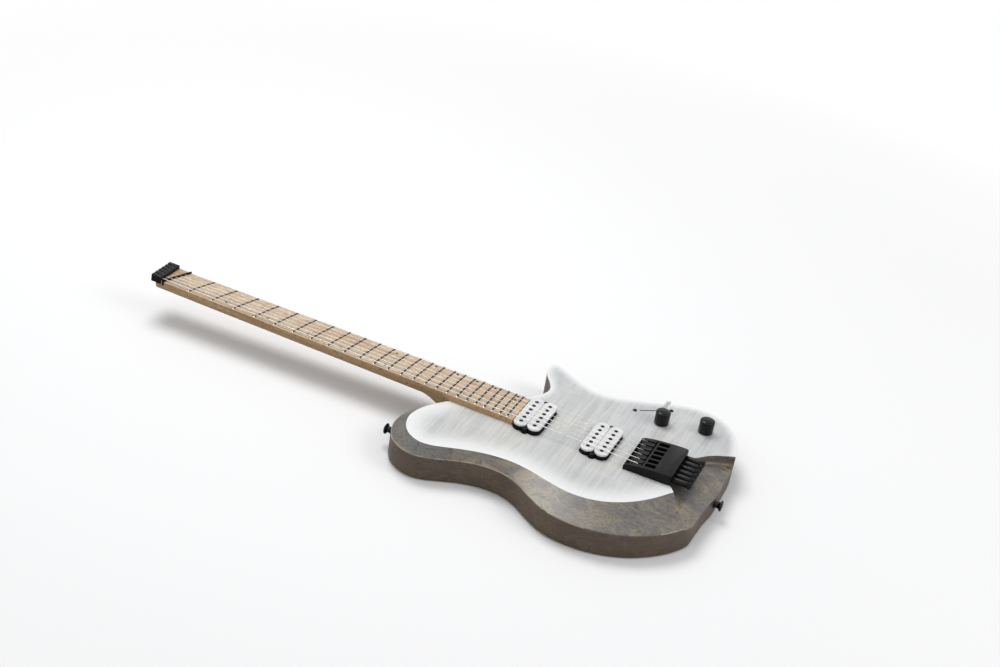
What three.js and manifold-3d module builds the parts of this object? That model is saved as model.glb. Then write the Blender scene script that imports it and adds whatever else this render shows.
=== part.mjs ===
// A headless travel guitar with fanned frets, lying on its flat back.
// Lengths are millimetres. X runs along the neck from the head end to the tail, Y from the
// bass side to the treble side, and Z up. Until the last lines, x = 0 is the treble end of
// the nut, y = 0 the centre line and z = 0 the back of the body.
// The neck has a frame of its own, tilted with the strings, whose z = 0 is the fret tops.

import * as THREE from 'three';
import { mergeVertices } from 'three/addons/utils/BufferGeometryUtils.js';
import Module from 'manifold-3d';

const wasm = await Module();
wasm.setup();

// Shared working values
const weld_tolerance = 0.0001;
const cut_overrun = 2;
const glue_gap = 0.3;
const board_bond_line = 0.05;
const running_gap = 0.3;
const string_count = 6;
const full_turn = 2 * Math.PI;

// Scale lengths, frets and strings
const fret_count = 24;
const treble_scale_length = 648;
const fan_ratio = 1.03287;
const bass_scale_length = treble_scale_length * fan_ratio;
const nut_setback = 0.4;
const saddle_stagger = 5.5;
const treble_saddle_x = treble_scale_length - nut_setback;
const bass_saddle_x = treble_saddle_x + saddle_stagger;
const fret_width = 2.4;
const fret_height = 1;
const fret_end_inset = 0.3;
const nut_string_spread = 35.5;
const bridge_string_spread = 52.5;
const string_gauges = [1.17, 0.91, 0.66, 0.46, 0.36, 0.3];
const string_rise_at_nut = 0.4;
const string_seat_gap = 0.12;

// Fingerboard and neck
const board_nut_width = 43;
const board_end_width = 56.4;
const board_end_share = 0.76327;
const board_end_x = treble_scale_length * board_end_share;
const board_thickness = 6;
const board_radius = 400;
const board_end_rise = 8.4;
const neck_angle = THREE.MathUtils.degToRad(0.8);
const neck_nut_depth = 13;
const neck_body_depth = 15.5;
const heel_depth = 26;
const heel_length = 128.6;
const heel_blend_length = 38;
const heel_start_x = board_end_x - heel_length;
const heel_full_x = heel_start_x + heel_blend_length;
const neck_squareness = 0.82;
const heel_squareness = 0.3;
const nut_thickness = 3.2;
const nut_depth = 4;
const nut_top_over_string = 0.3;
const truss_width = 6;
const truss_depth = 8;
const truss_end_gap = 4;
const truss_end_x = heel_full_x - truss_end_gap;
const truss_nut_length = 12;
const truss_nut_radius = 3.6;
const truss_bore_radius = 4.2;

// Head piece that clamps the strings
const head_front_gap = 1;
const head_front_x = bass_saddle_x - bass_scale_length - nut_thickness - head_front_gap;
const head_shelf_length = 8.1;
const neck_end_x = head_front_x - head_shelf_length;
const head_length = 15;
const head_width = 44;
const head_top = 4.4;
const head_bottom = -6;
const head_rib_height = 1.1;
const clamp_bore_radius = 2.35;
const clamp_screw_radius = 2.1;
const clamp_screw_length = 8;
const clamp_key_radius = 1.1;
const clamp_key_depth = 3;
const string_bore_radius = 0.9;

// Body
const body_front_gap = 1;
const body_front_x = heel_start_x + body_front_gap;
const body_length = 388;
const body_width = 310;
const body_thickness = 44;
const cap_thickness = 3;
const cap_edge_round = 0.8;
const back_round_share = 0.0129;
const back_round = body_length * back_round_share;
const bevel_width = 52;
const bevel_depth = 10.5;
const bevel_full_share = 0.14;

// Scoop behind the bridge, where the fingers reach the tuners
const scoop_front_depth = 8;
const scoop_tail_depth = 14;
const scoop_cove_radius = 5;

// Control cavity, its cover and the holes that open into it
const cavity_roof = 6;
const cover_thickness = 2.5;
const cover_ledge = 5;
const cover_gap = 0.4;
const cavity_gap = 1.2;

// Pickups
const neck_pickup_gap = 18.85;
const bridge_pickup_gap = 45.25;
const pickup_x = {
  neck: board_end_x + neck_pickup_gap,
  bridge: treble_saddle_x - bridge_pickup_gap,
};
const pickup_top = { neck: 8.3, bridge: 7.8 };
const coil_pitch = 18.05;
const coil_width = 17.7;
const coil_length = 69.5;
const bobbin_plate = 2.8;
const pole_radius = 2.4;
const pole_rise = 0.35;
const pickup_cavity_depth = 14;
const pickup_cavity_gap = 0.8;
const pickup_ear_radius = 4.6;
const pickup_ear_offset = 34.2;
const pickup_screw_radius = 1.5;

// Bridge frame
const bridge_front_gap = 4.6;
const bridge_front_x = treble_saddle_x - bridge_front_gap;
const bridge_length = 60.5;
const bridge_rear_x = bridge_front_x + bridge_length;
const bridge_width = 69;
const bridge_corner_radius = 3.5;
const bridge_plate = 1.5;
const bridge_lip_thickness = 1.2;
const bridge_heights = [5.8, 8.3, 10.6, 12.3, 13.2, 13.2];
const bridge_height_shares = [0, 0.08, 0.29, 0.56, 0.8, 1];
const tray_length = 20.8;
const channel_width = 8.4;
const channel_height = 6.2;
const bridge_rear_wall = 15;
const channel_end_x = bridge_rear_x - bridge_rear_wall;
const window_setback = 36.1;
const window_start_x = bridge_rear_x - window_setback;
const window_length = 13.1;
const window_width = 7.4;

// Saddles
const saddle_width = 10.2;
const saddle_front = 1.5;
const saddle_rear_gap = 1.9;
const saddle_crest_height = 9;
const saddle_back_height = 10.6;
const saddle_slot_width = 3;
const saddle_slot_floor = 3.4;

// Tuners: a puller that slides in each channel and the thimble that draws it
const puller_gap = 0.2;
const puller_length = 9;
const puller_setback = 32;
const puller_front_x = bridge_rear_x - puller_setback;
const puller_slot_width = 2.2;
const puller_slot_length = 4;
const rod_radius = 1.6;
const rod_reach = 13;
const thimble_radius = 3.9;
const thimble_length = 23.5;
const thimble_wall = 5;
const thimble_journal_radius = 3;
const thimble_journal_length = 4.5;
const thimble_crown_length = 4;
const thimble_crown_radius = 4.6;
const thimble_scallops = 8;
const thimble_scallop_depth = 0.6;

// Volume and tone controls
const knob_shares = { volume: [0.729, 0.288], tone: [0.868, 0.337] };
const knob_radius = 9.5;
const knob_height = 18;
const knob_dome = 1.2;
const knob_edge = 1;
const knob_lift = 0.8;
const knob_flutes = 18;
const knob_flute_depth = 0.35;
const knob_bore_depth = 10;
const shaft_radius = 3;
const bushing_radius = 4.6;
const pot_radius = 12;
const pot_height = 9;
const pot_nut_radius = 6;
const pot_nut_height = 0.5;
const shaft_seat_depth = 6;

// Blade switch
const switch_shares = [0.6821, 0.3579];
const switch_angle = THREE.MathUtils.degToRad(34.6);
const switch_screw_pitch = 48.7;
const switch_slot_length = 36;
const switch_slot_width = 2;
const switch_screw_radius = 1.6;
const switch_head_radius = 2.7;
const switch_head_height = 1.3;
const switch_bracket_thickness = 1.6;
const switch_bracket_width = 10;
const switch_body_length = 38;
const switch_body_height = 18;
const switch_throat_width = 3;
const lever_tilt = THREE.MathUtils.degToRad(32);
const lever_pivot_depth = 16;
const lever_width = 4.6;
const lever_thickness = 1.2;
const lever_rise = 9;
const lever_pin_radius = 2.4;
const tip_length = 12;
const tip_foot_radius = 1.9;
const tip_top_radius = 2.5;
const tip_grip = 3;
const tip_shoulder_share = 0.8;
const tip_dome_share = 0.95;
const tip_paddle_share = 1.4;

// Output jack and strap buttons
const jack_height = 20;
const jack_flange_radius = 9.5;
const jack_flange_thickness = 2;
const jack_barrel_radius = 6.2;
const jack_barrel_length = 27;
const jack_bore_radius = 3.3;
const button_radius = 6.8;
const button_neck_radius = 4;
const button_length = 11;
const button_rim = 2.4;
const horn_button_height = 22;
const tail_button_height = 19;
const horn_button_share = -0.3161;
const tail_button_y = 0;
const button_seat_depth = 1.4;

// The top's outline, counter-clockwise from where the bass side leaves the neck. Each point is
// a share of the body's length, a share of its width and a share of the bevel's full width.
const top_outline_shares = [
  [0.102, -0.092, 0], [0.066, -0.161, 0.16], [0.045, -0.223, 0.27], [0.040, -0.277, 0.3],
  [0.050, -0.329, 0.33], [0.071, -0.373, 0.35], [0.101, -0.402, 0.33], [0.133, -0.414, 0.3],
  [0.165, -0.410, 0.26], [0.206, -0.391, 0.23], [0.255, -0.365, 0.21], [0.309, -0.342, 0.22],
  [0.369, -0.327, 0.26], [0.420, -0.325, 0.32], [0.477, -0.337, 0.42], [0.539, -0.359, 0.58],
  [0.601, -0.377, 0.73], [0.657, -0.378, 0.8], [0.714, -0.360, 0.88], [0.770, -0.320, 0.96],
  [0.820, -0.263, 1], [0.855, -0.206, 1], [0.884, -0.148, 0.92], [0.924, -0.077, 0.6],
  [0.968, 0.006, 0.26], [0.990, 0.094, 0.08], [0.999, 0.177, 0], [0.996, 0.245, 0],
  [0.987, 0.297, 0], [0.968, 0.365, 0], [0.938, 0.424, 0], [0.892, 0.469, 0],
  [0.832, 0.490, 0], [0.776, 0.480, 0], [0.716, 0.450, 0], [0.655, 0.411, 0],
  [0.593, 0.377, 0], [0.539, 0.352, 0], [0.492, 0.346, 0], [0.454, 0.355, 0],
  [0.399, 0.387, 0], [0.351, 0.421, 0], [0.323, 0.440, 0], [0.307, 0.444, 0],
  [0.295, 0.427, 0], [0.294, 0.392, 0], [0.304, 0.347, 0], [0.326, 0.305, 0],
  [0.344, 0.265, 0], [0.348, 0.229, 0], [0.336, 0.187, 0], [0.314, 0.144, 0],
  [0.289, 0.113, 0], [0.260, 0.092, 0], [0.206, 0.039, 0], [0.147, -0.032, 0],
];

// The scoop's edge as shares of the body's length and width, past the tail at its open side.
const scoop_outline_shares = [
  [0.851, 0], [0.851, -0.068], [0.858, -0.102], [0.872, -0.114], [0.886, -0.136],
  [0.923, -0.21], [0.962, -0.29], [1.03, -0.37], [1.12, -0.25], [1.14, 0],
  [1.1, 0.2], [1.04, 0.25], [0.994, 0.24], [0.965, 0.22], [0.941, 0.202], [0.919, 0.18],
  [0.902, 0.155], [0.888, 0.135], [0.869, 0.124], [0.857, 0.098], [0.852, 0.055],
];

const bodyX = (share) => body_front_x + share * body_length;
const bodyY = (share) => share * body_width;
const stringSlots = Array.from({ length: string_count }, (_, i) => i / (string_count - 1) - 1 / 2);
const bridgeStringY = (i) => stringSlots[i] * bridge_string_spread;
const nutStringY = (i) => stringSlots[i] * nut_string_spread;
const stringShare = (i) => i / (string_count - 1);

// Materials
function finish(color, roughness, metalness) {
  return new THREE.MeshStandardMaterial({ color, roughness, metalness });
}
const white_maple = finish(0xe9ecec, 0.35, 0);
const grey_burl = finish(0x75695a, 0.4, 0);
const birdseye_maple = finish(0xd8b58a, 0.5, 0);
const black_metal = finish(0x1b1b1d, 0.42, 0.7);
const black_plastic = finish(0x151515, 0.5, 0);
const white_plastic = finish(0xf2f2ef, 0.35, 0);
const bright_steel = finish(0xcfd2d4, 0.28, 1);
const zinc = finish(0x9a9da0, 0.4, 0.9);

// Solids: joining and cutting
function solidOf(geometry) {
  const bare = geometry.clone();
  bare.deleteAttribute('normal');
  bare.deleteAttribute('uv');
  const merged = mergeVertices(bare, weld_tolerance);
  return new wasm.Manifold(new wasm.Mesh({
    numProp: 3,
    vertProperties: new Float32Array(merged.attributes.position.array),
    triVerts: new Uint32Array(merged.index.array),
  }));
}

function geometryOf(solid) {
  const shell = solid.getMesh();
  const geometry = new THREE.BufferGeometry();
  geometry.setAttribute('position', new THREE.BufferAttribute(shell.vertProperties, 3));
  geometry.setIndex(new THREE.BufferAttribute(shell.triVerts, 1));
  geometry.computeVertexNormals();
  return geometry;
}

const joined = (solids) => solids.reduce((whole, piece) => whole.add(piece));
const cut = (solid, tools) => tools.reduce((rest, tool) => rest.subtract(tool), solid);

// A solid through closed rings of equal count. `flat` turns a point into the plane of the
// rings, in which they run counter-clockwise as seen from the last ring.
function loft(rings, flat = (p) => new THREE.Vector2(p.x, p.y)) {
  const count = rings[0].length;
  const positions = rings.flat().flatMap((p) => [p.x, p.y, p.z]);
  const faces = [];
  for (let level = 0; level < rings.length - 1; level += 1) {
    for (let i = 0; i < count; i += 1) {
      const a = level * count + i;
      const b = level * count + ((i + 1) % count);
      faces.push(a, b, b + count, a, b + count, a + count);
    }
  }
  const last = (rings.length - 1) * count;
  for (const [a, b, c] of THREE.ShapeUtils.triangulateShape(rings[0].map(flat), [])) {
    faces.push(a, c, b);
  }
  for (const [a, b, c] of THREE.ShapeUtils.triangulateShape(rings.at(-1).map(flat), [])) {
    faces.push(last + a, last + b, last + c);
  }
  const geometry = new THREE.BufferGeometry();
  geometry.setAttribute('position', new THREE.Float32BufferAttribute(positions, 3));
  geometry.setIndex(faces);
  return solidOf(geometry);
}

function block(x0, x1, y0, y1, z0, z1) {
  const geometry = new THREE.BoxGeometry(x1 - x0, y1 - y0, z1 - z0);
  geometry.translate((x0 + x1) / 2, (y0 + y1) / 2, (z0 + z1) / 2);
  return solidOf(geometry);
}

// A body of revolution: pairs of radius and distance along the axis, from axis to axis
function turned(profile, direction, centre = new THREE.Vector3(), sides = 24) {
  const geometry = new THREE.LatheGeometry(profile.map(([r, d]) => new THREE.Vector2(r, d)), sides);
  const up = new THREE.Vector3(0, 1, 0);
  geometry.applyQuaternion(new THREE.Quaternion().setFromUnitVectors(up, direction));
  geometry.translate(centre.x, centre.y, centre.z);
  return solidOf(geometry);
}

const along_x = new THREE.Vector3(1, 0, 0);
const against_x = new THREE.Vector3(-1, 0, 0);
const along_y = new THREE.Vector3(0, 1, 0);
const along_z = new THREE.Vector3(0, 0, 1);

function rod(radius, start, end, direction, centre, sides = 16) {
  return turned([[0, start], [radius, start], [radius, end], [0, end]], direction, centre, sides);
}

function prism(points, z0, z1) {
  return loft([z0, z1].map((z) => points.map((p) => new THREE.Vector3(p.x, p.y, z))));
}

// Outlines
function smoothLoop(points, samples) {
  const loop = points.map(([x, y, extra = 0]) => new THREE.Vector3(x, y, extra));
  return new THREE.CatmullRomCurve3(loop, true, 'centripetal').getPoints(samples).slice(0, samples);
}

function outward(loop, i) {
  const before = loop[(i + loop.length - 1) % loop.length];
  const after = loop[(i + 1) % loop.length];
  return new THREE.Vector2(after.y - before.y, before.x - after.x).normalize();
}

function grown(loop, distance) {
  return loop.map((p, i) => {
    const n = outward(loop, i);
    return new THREE.Vector3(p.x + n.x * distance, p.y + n.y * distance, p.z);
  });
}

const atHeight = (loop, height) => loop.map((p, i) => (
  new THREE.Vector3(p.x, p.y, typeof height === 'function' ? height(p, i) : height)));

const shareLoop = (shares, samples) => smoothLoop(
  shares.map(([x, y, extra]) => [bodyX(x), bodyY(y), extra]), samples);

// The neck's tilted frame
const board_end_top = body_thickness + board_end_rise;
const neck_lift = board_end_top + fret_height + board_end_x * Math.sin(neck_angle);
const neck_matrix = new THREE.Matrix4().makeRotationY(neck_angle).setPosition(0, 0, neck_lift);
const fromNeck = (x, y, z) => new THREE.Vector3(x, y, z).applyMatrix4(neck_matrix);
const inBody = (solid) => solidOf(geometryOf(solid).applyMatrix4(neck_matrix));

// Frets fan out between the bass scale and the treble scale
const boardHalf = (x) => (
  board_nut_width + (board_end_width - board_nut_width) * (x / board_end_x)) / 2;
const bassFretX = (n) => bass_saddle_x - bass_scale_length * 2 ** (-n / 12);
const trebleFretX = (n) => treble_saddle_x - treble_scale_length * 2 ** (-n / 12);
const boardZ = (y) => -fret_height - board_radius + Math.sqrt(board_radius ** 2 - y ** 2);
const board_bottom = -fret_height - board_thickness;
const neck_flat = (p) => new THREE.Vector2(p.y, p.z);

const neckSections = (from, to, count) => Array.from(
  { length: count }, (_, i) => from + ((to - from) * i) / (count - 1));

function boardSection(x) {
  const half = boardHalf(x);
  const crown = neckSections(half, -half, 4);
  return [
    new THREE.Vector3(x, -half, board_bottom),
    new THREE.Vector3(x, half, board_bottom),
    ...crown.map((y) => new THREE.Vector3(x, y, boardZ(y))),
  ];
}

function nutEndCut(depth) {
  const reach = boardHalf(0);
  const slant = (bassFretX(0) - trebleFretX(0)) / 2;
  const middle = (bassFretX(0) + trebleFretX(0)) / 2 - depth;
  const far = head_front_x - head_length - cut_overrun;
  const points = [
    new THREE.Vector2(far, -reach * 2),
    new THREE.Vector2(middle + slant * 2, -reach * 2),
    new THREE.Vector2(middle - slant * 2, reach * 2),
    new THREE.Vector2(far, reach * 2),
  ];
  return prism(points, -heel_depth - cut_overrun, head_top);
}

function fret(n) {
  const stations = neckSections(-1, 1, 4);
  const rings = stations.map((station) => {
    const middle = (bassFretX(n) + trebleFretX(n)) / 2;
    const x = middle + (station * (trebleFretX(n) - bassFretX(n))) / 2;
    const y = station * (boardHalf(x) - fret_end_inset);
    const z = boardZ(y);
    return [
      new THREE.Vector3(x - fret_width / 2, y, z - fret_height / 5),
      new THREE.Vector3(x - fret_width / 5, y, z + fret_height),
      new THREE.Vector3(x + fret_width / 5, y, z + fret_height),
      new THREE.Vector3(x + fret_width / 2, y, z - fret_height / 5),
    ];
  });
  return loft(rings, (p) => new THREE.Vector2(p.z, p.x));
}

function fingerboard() {
  const blank = loft([bassFretX(0), board_end_x].map(boardSection), neck_flat);
  const board = cut(blank, [nutEndCut(0)]);
  return joined([board, ...Array.from({ length: fret_count }, (_, i) => fret(i + 1))]);
}

// The neck under the board: a rounded back that grows into a squarer heel
function neckSection(x, grow, top) {
  const half = boardHalf(x) + grow;
  const thin = neck_nut_depth + (neck_body_depth - neck_nut_depth) * (x / heel_start_x);
  const blend = THREE.MathUtils.smoothstep(x, heel_start_x, heel_full_x);
  const depth = THREE.MathUtils.lerp(thin, heel_depth, blend) + grow;
  const squareness = THREE.MathUtils.lerp(neck_squareness, heel_squareness, blend);
  const arc = neckSections(Math.PI, full_turn, 13).map((turn) => new THREE.Vector3(
    x,
    half * Math.cos(turn),
    board_bottom - depth * Math.abs(Math.sin(turn)) ** squareness,
  ));
  arc[0].z = board_bottom;
  arc[arc.length - 1].z = board_bottom;
  return [...arc, new THREE.Vector3(x, half, top), new THREE.Vector3(x, -half, top)];
}

function neckBar(grow, top, end_x) {
  const stations = [
    neck_end_x,
    0,
    ...neckSections(0, heel_start_x, 4).slice(1),
    ...neckSections(heel_start_x, heel_full_x, 6).slice(1),
    end_x,
  ];
  return loft(stations.map((x) => neckSection(x, grow, top)), neck_flat);
}

function neck() {
  const bar = neckBar(0, board_bottom + weld_tolerance, board_end_x);
  const flat_top = block(
    neck_end_x - cut_overrun, board_end_x + cut_overrun, -body_width, body_width,
    board_bottom - board_bond_line, head_top);
  const shelf_half = boardHalf(0);
  const shelf = block(
    head_front_x, trebleFretX(0), -shelf_half, shelf_half, board_bottom - nut_depth, -fret_height);
  const head_seat = block(
    neck_end_x - cut_overrun, head_front_x, -head_width, head_width, head_bottom - glue_gap,
    head_top);
  const shelf_kept = shelf.intersect(nutEndCut(nut_thickness));
  const channel_top = board_bottom + cut_overrun;
  const channel = block(
    neck_end_x + truss_nut_length, truss_end_x + glue_gap, -truss_width / 2 - glue_gap,
    truss_width / 2 + glue_gap, board_bottom - truss_depth - glue_gap, channel_top);
  const nut_bore = rod(
    truss_bore_radius, neck_end_x - cut_overrun, neck_end_x + truss_nut_length + glue_gap,
    along_x, new THREE.Vector3(0, 0, trussZ()));
  const under_nut = cut(bar, [flat_top]).add(shelf_kept);
  return cut(under_nut, [head_seat, channel, nut_bore]);
}

function trussZ() {
  return board_bottom - truss_depth / 2 - glue_gap;
}

function trussRod() {
  const start = neck_end_x + truss_nut_length + glue_gap;
  const bar = block(
    start, truss_end_x, -truss_width / 2, truss_width / 2, trussZ() - truss_depth / 2,
    trussZ() + truss_depth / 2);
  const journal = rod(
    truss_nut_radius / 2, start - truss_nut_length / 2, start + cut_overrun, along_x,
    new THREE.Vector3(0, 0, trussZ()));
  return bar.add(journal);
}

function trussNut() {
  const centre = new THREE.Vector3(0, 0, trussZ());
  const start = neck_end_x + glue_gap;
  const end = neck_end_x + truss_nut_length;
  const body = rod(truss_nut_radius, start, end, along_x, centre);
  const key = rod(truss_nut_radius / 2, start - cut_overrun, start + truss_nut_length / 3, along_x,
    centre, 6);
  const thread = rod(
    truss_nut_radius / 2 + glue_gap, end - truss_nut_length / 2, end + cut_overrun, along_x,
    centre);
  return cut(body, [key, thread]);
}

// Nut with a slot for each string
const stringRadius = (i) => string_gauges[i] / 2;
const nutX = (i) => THREE.MathUtils.lerp(bassFretX(0), trebleFretX(0), stringShare(i));
const nutStringZ = (i) => string_rise_at_nut + stringRadius(i);

function nut() {
  const half = boardHalf(0) - fret_end_inset;
  const top = nutStringZ(0) + nut_top_over_string;
  const bottom = board_bottom;
  const ends = [[bassFretX(0), -half], [trebleFretX(0), half]];
  const rings = ends.map(([x, y]) => [
    new THREE.Vector3(x - nut_thickness + glue_gap / 2, y, bottom + glue_gap),
    new THREE.Vector3(x - nut_thickness + glue_gap / 2, y, top - nut_top_over_string),
    new THREE.Vector3(x - nut_thickness / 2, y, top),
    new THREE.Vector3(x - glue_gap / 2, y, top),
    new THREE.Vector3(x - glue_gap / 2, y, bottom + glue_gap),
  ]);
  const bar = loft(rings, (p) => new THREE.Vector2(p.z, p.x));
  const slots = stringSlots.map((_, i) => block(
    nutX(i) - nut_thickness - cut_overrun, nutX(i) + cut_overrun,
    nutStringY(i) - stringRadius(i) - string_seat_gap,
    nutStringY(i) + stringRadius(i) + string_seat_gap,
    nutStringZ(i) - stringRadius(i) - string_seat_gap, head_top));
  return cut(bar, slots);
}

// Head piece: a ribbed block with a string bore and a clamp screw behind each string
const head_rear_x = head_front_x - head_length;
const clampCentre = (i) => new THREE.Vector3(0, nutStringY(i), nutStringZ(i));

function headPiece() {
  const base = block(
    head_rear_x, head_front_x, -head_width / 2, head_width / 2, head_bottom,
    head_top - head_rib_height);
  const rib_pitch = head_width / string_count;
  const ribs = stringSlots.map((_, i) => {
    const middle = (i - (string_count - 1) / 2) * rib_pitch;
    const arch = neckSections(0, Math.PI, 5).map((turn) => [
      middle + (rib_pitch / 2 - glue_gap / 2) * Math.cos(turn),
      head_top - head_rib_height + head_rib_height * Math.sin(turn) - weld_tolerance,
    ]);
    const foot = [
      [middle - rib_pitch / 2 + glue_gap / 2, head_top - 2 * head_rib_height],
      [middle + rib_pitch / 2 - glue_gap / 2, head_top - 2 * head_rib_height],
    ];
    return loft([head_rear_x, head_front_x].map((x) => (
      [...arch, ...foot].map(([y, z]) => new THREE.Vector3(x, y, z)))), neck_flat);
  });
  const bores = stringSlots.flatMap((_, i) => [
    rod(string_bore_radius, head_rear_x + clamp_screw_length, head_front_x + cut_overrun,
      along_x, clampCentre(i), 6),
    rod(clamp_bore_radius, head_rear_x - cut_overrun, head_rear_x + clamp_screw_length + glue_gap,
      along_x, clampCentre(i), 10),
  ]);
  return cut(joined([base, ...ribs]), bores);
}

function clampScrew(i) {
  const start = head_rear_x + glue_gap;
  const body = rod(clamp_screw_radius, start, start + clamp_screw_length - glue_gap, along_x,
    clampCentre(i), 10);
  const key = rod(clamp_key_radius, start - cut_overrun, start + clamp_key_depth, along_x,
    clampCentre(i), 6);
  return cut(body, [key]);
}

// Body: one tapered shell, bevelled along the bass side, split into core and cap
const outline_samples = 2 * top_outline_shares.length;
const top_loop = shareLoop(top_outline_shares, outline_samples);
const bevel_shares = top_loop.map((p) => Math.max(p.z, 0));
const bevelReach = (i) => bevel_shares[i] * bevel_width;
const outer_loop = top_loop.map((p, i) => {
  const n = outward(top_loop, i);
  return new THREE.Vector3(p.x + n.x * bevelReach(i), p.y + n.y * bevelReach(i), 0);
});
const bevelFall = (i) => bevel_depth * Math.min(1, bevel_shares[i] / bevel_full_share);

// The ring where the bevelled side passes a depth below the top, rising to vertical walls
function rampRing(depth) {
  return top_loop.map((p, i) => {
    const share = bevelFall(i) > depth ? depth / bevelFall(i) : 1;
    const n = outward(top_loop, i);
    const reach = bevelReach(i) * share;
    return new THREE.Vector3(p.x + n.x * reach, p.y + n.y * reach, body_thickness - depth);
  });
}

function sideRing() {
  return outer_loop.map((p, i) => new THREE.Vector3(
    p.x, p.y, body_thickness - Math.max(bevelFall(i), cap_thickness + back_round / 2)));
}

function scoopCutter() {
  const edge = shareLoop(scoop_outline_shares, 2 * scoop_outline_shares.length);
  const front = bodyX(scoop_outline_shares[0][0]);
  const tail = bodyX(1);
  const depthAt = (p) => THREE.MathUtils.mapLinear(
    p.x, front, tail, scoop_front_depth, scoop_tail_depth);
  const cove = neckSections(0, Math.PI / 2, 3).map((turn) => {
    const inset = scoop_cove_radius * (1 - Math.cos(turn));
    const rise = scoop_cove_radius * (1 - Math.sin(turn));
    return atHeight(grown(edge, -inset), (p) => body_thickness - depthAt(p) + rise);
  });
  return loft([...cove.reverse(), atHeight(edge, body_thickness + cut_overrun)]);
}

const coilY = coil_length / 2 - coil_width / 2;

function stadium(half_length, radius) {
  const bend = neckSections(0, Math.PI, 7);
  return [
    ...bend.map((turn) => new THREE.Vector2(
      radius * Math.cos(turn), half_length + radius * Math.sin(turn))),
    ...bend.map((turn) => new THREE.Vector2(
      -radius * Math.cos(turn), -half_length - radius * Math.sin(turn))),
  ];
}

const moved = (points, x, y) => points.map((p) => new THREE.Vector2(p.x + x, p.y + y));

function pickupPrism(x, z0, z1, grow) {
  const coils = [-1, 1].map((side) => prism(
    moved(stadium(coilY, coil_width / 2 + grow), x + (side * coil_pitch) / 2, 0), z0, z1));
  const web = block(
    x - pickup_ear_radius / 2, x + pickup_ear_radius / 2, -pickup_ear_offset, pickup_ear_offset,
    z0, z1);
  const ears = [-1, 1].map((side) => turned(
    [[0, z0], [pickup_ear_radius + grow, z0], [pickup_ear_radius + grow, z1], [0, z1]],
    along_z, new THREE.Vector3(x, side * pickup_ear_offset, 0), 12));
  return joined([...coils, web, ...ears]);
}

const pickup_floor = body_thickness - pickup_cavity_depth;

function pickupCavities() {
  return Object.values(pickup_x).map((x) => pickupPrism(
    x, pickup_floor, body_thickness + cut_overrun, pickup_cavity_gap));
}

function neckPocket() {
  const tool = neckBar(glue_gap, cut_overrun, board_end_x + glue_gap);
  const front = block(
    heel_start_x, board_end_x + cut_overrun, -body_width / 2, body_width / 2,
    board_bottom - heel_depth - cut_overrun, cut_overrun * 2);
  return inBody(tool.intersect(front));
}

function knobPoint(name, z = 0) {
  const [length_share, width_share] = knob_shares[name];
  return new THREE.Vector3(bodyX(length_share), bodyY(width_share), z);
}

const switch_x = bodyX(switch_shares[0]);
const switch_y = bodyY(switch_shares[1]);
const bushingHoles = () => Object.keys(knob_shares).map((name) => rod(
  bushing_radius + running_gap, body_thickness - cavity_roof - cut_overrun,
  body_thickness + cut_overrun, along_z, knobPoint(name)));

// Places along the switch: distance along its slot, distance across it, and height
function switchPoint(along, across, z) {
  const c = Math.cos(switch_angle);
  const s = Math.sin(switch_angle);
  return new THREE.Vector3(
    switch_x + along * c - across * s, switch_y + along * s + across * c, z);
}

function switchBlock(a0, a1, c0, c1, z0, z1) {
  const corners = [[a0, c0], [a1, c0], [a1, c1], [a0, c1]];
  return prism(corners.map(([a, c]) => switchPoint(a, c, 0)), z0, z1);
}

function switchHoles(radius) {
  const bottom = body_thickness - cavity_roof - switch_bracket_thickness - cut_overrun;
  return [-1, 1].map((side) => rod(
    radius, bottom, body_thickness + cut_overrun, along_z,
    switchPoint((side * switch_screw_pitch) / 2, 0, 0), 12));
}

const switchSlot = () => switchBlock(
  -switch_slot_length / 2, switch_slot_length / 2, -switch_slot_width / 2, switch_slot_width / 2,
  body_thickness - cavity_roof - cut_overrun, body_thickness + cut_overrun);

const topHoles = () => [...bushingHoles(), ...switchHoles(switch_screw_radius + running_gap),
  switchSlot()];

// Places on the body's side wall
const widest = outer_loop.reduce((best, p) => (p.y > best.y ? p : best));
const jack_x = widest.x;
const jack_wall_y = widest.y;

function wallX(y, pick) {
  const crossings = outer_loop.flatMap((p, i) => {
    const q = outer_loop[(i + 1) % outer_loop.length];
    if ((p.y - y) * (q.y - y) > 0) return [];
    return [THREE.MathUtils.lerp(p.x, q.x, (y - p.y) / (q.y - p.y))];
  });
  return pick(...crossings);
}

function buttonSeat(y, z, direction, pick) {
  const floor = wallX(y, pick) - direction.x * button_seat_depth;
  return { centre: new THREE.Vector3(floor, y, z), direction };
}

const button_seats = {
  horn: buttonSeat(bodyY(horn_button_share), horn_button_height, against_x, Math.min),
  tail: buttonSeat(tail_button_y, tail_button_height, along_x, Math.max),
};

const spotFaces = () => Object.values(button_seats).map(({ centre, direction }) => rod(
  button_radius + running_gap, 0, button_seat_depth + cut_overrun, direction, centre, 20));

const jack_centre = new THREE.Vector3(jack_x, 0, jack_height);

function jackHole() {
  const seat = jack_wall_y - jack_flange_thickness;
  const inner = jack_wall_y - jack_barrel_length - cut_overrun;
  return joined([
    rod(jack_flange_radius + running_gap, seat, jack_wall_y + cut_overrun, along_y, jack_centre, 20),
    rod(jack_barrel_radius + running_gap, inner, seat + cut_overrun, along_y, jack_centre),
  ]);
}

// A prism with round ends along the line from one point to another
function slotPrism(from, to, radius, z0, z1) {
  const turn = Math.atan2(to.y - from.y, to.x - from.x);
  const rim = (centre, start) => neckSections(start, start + Math.PI, 7).map((angle) => (
    new THREE.Vector2(
      centre.x + radius * Math.cos(angle + turn), centre.y + radius * Math.sin(angle + turn))));
  return prism([...rim(to, -Math.PI / 2), ...rim(from, Math.PI / 2)], z0, z1);
}

const half_bracket = switch_screw_pitch / 2 + switch_head_radius;

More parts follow.
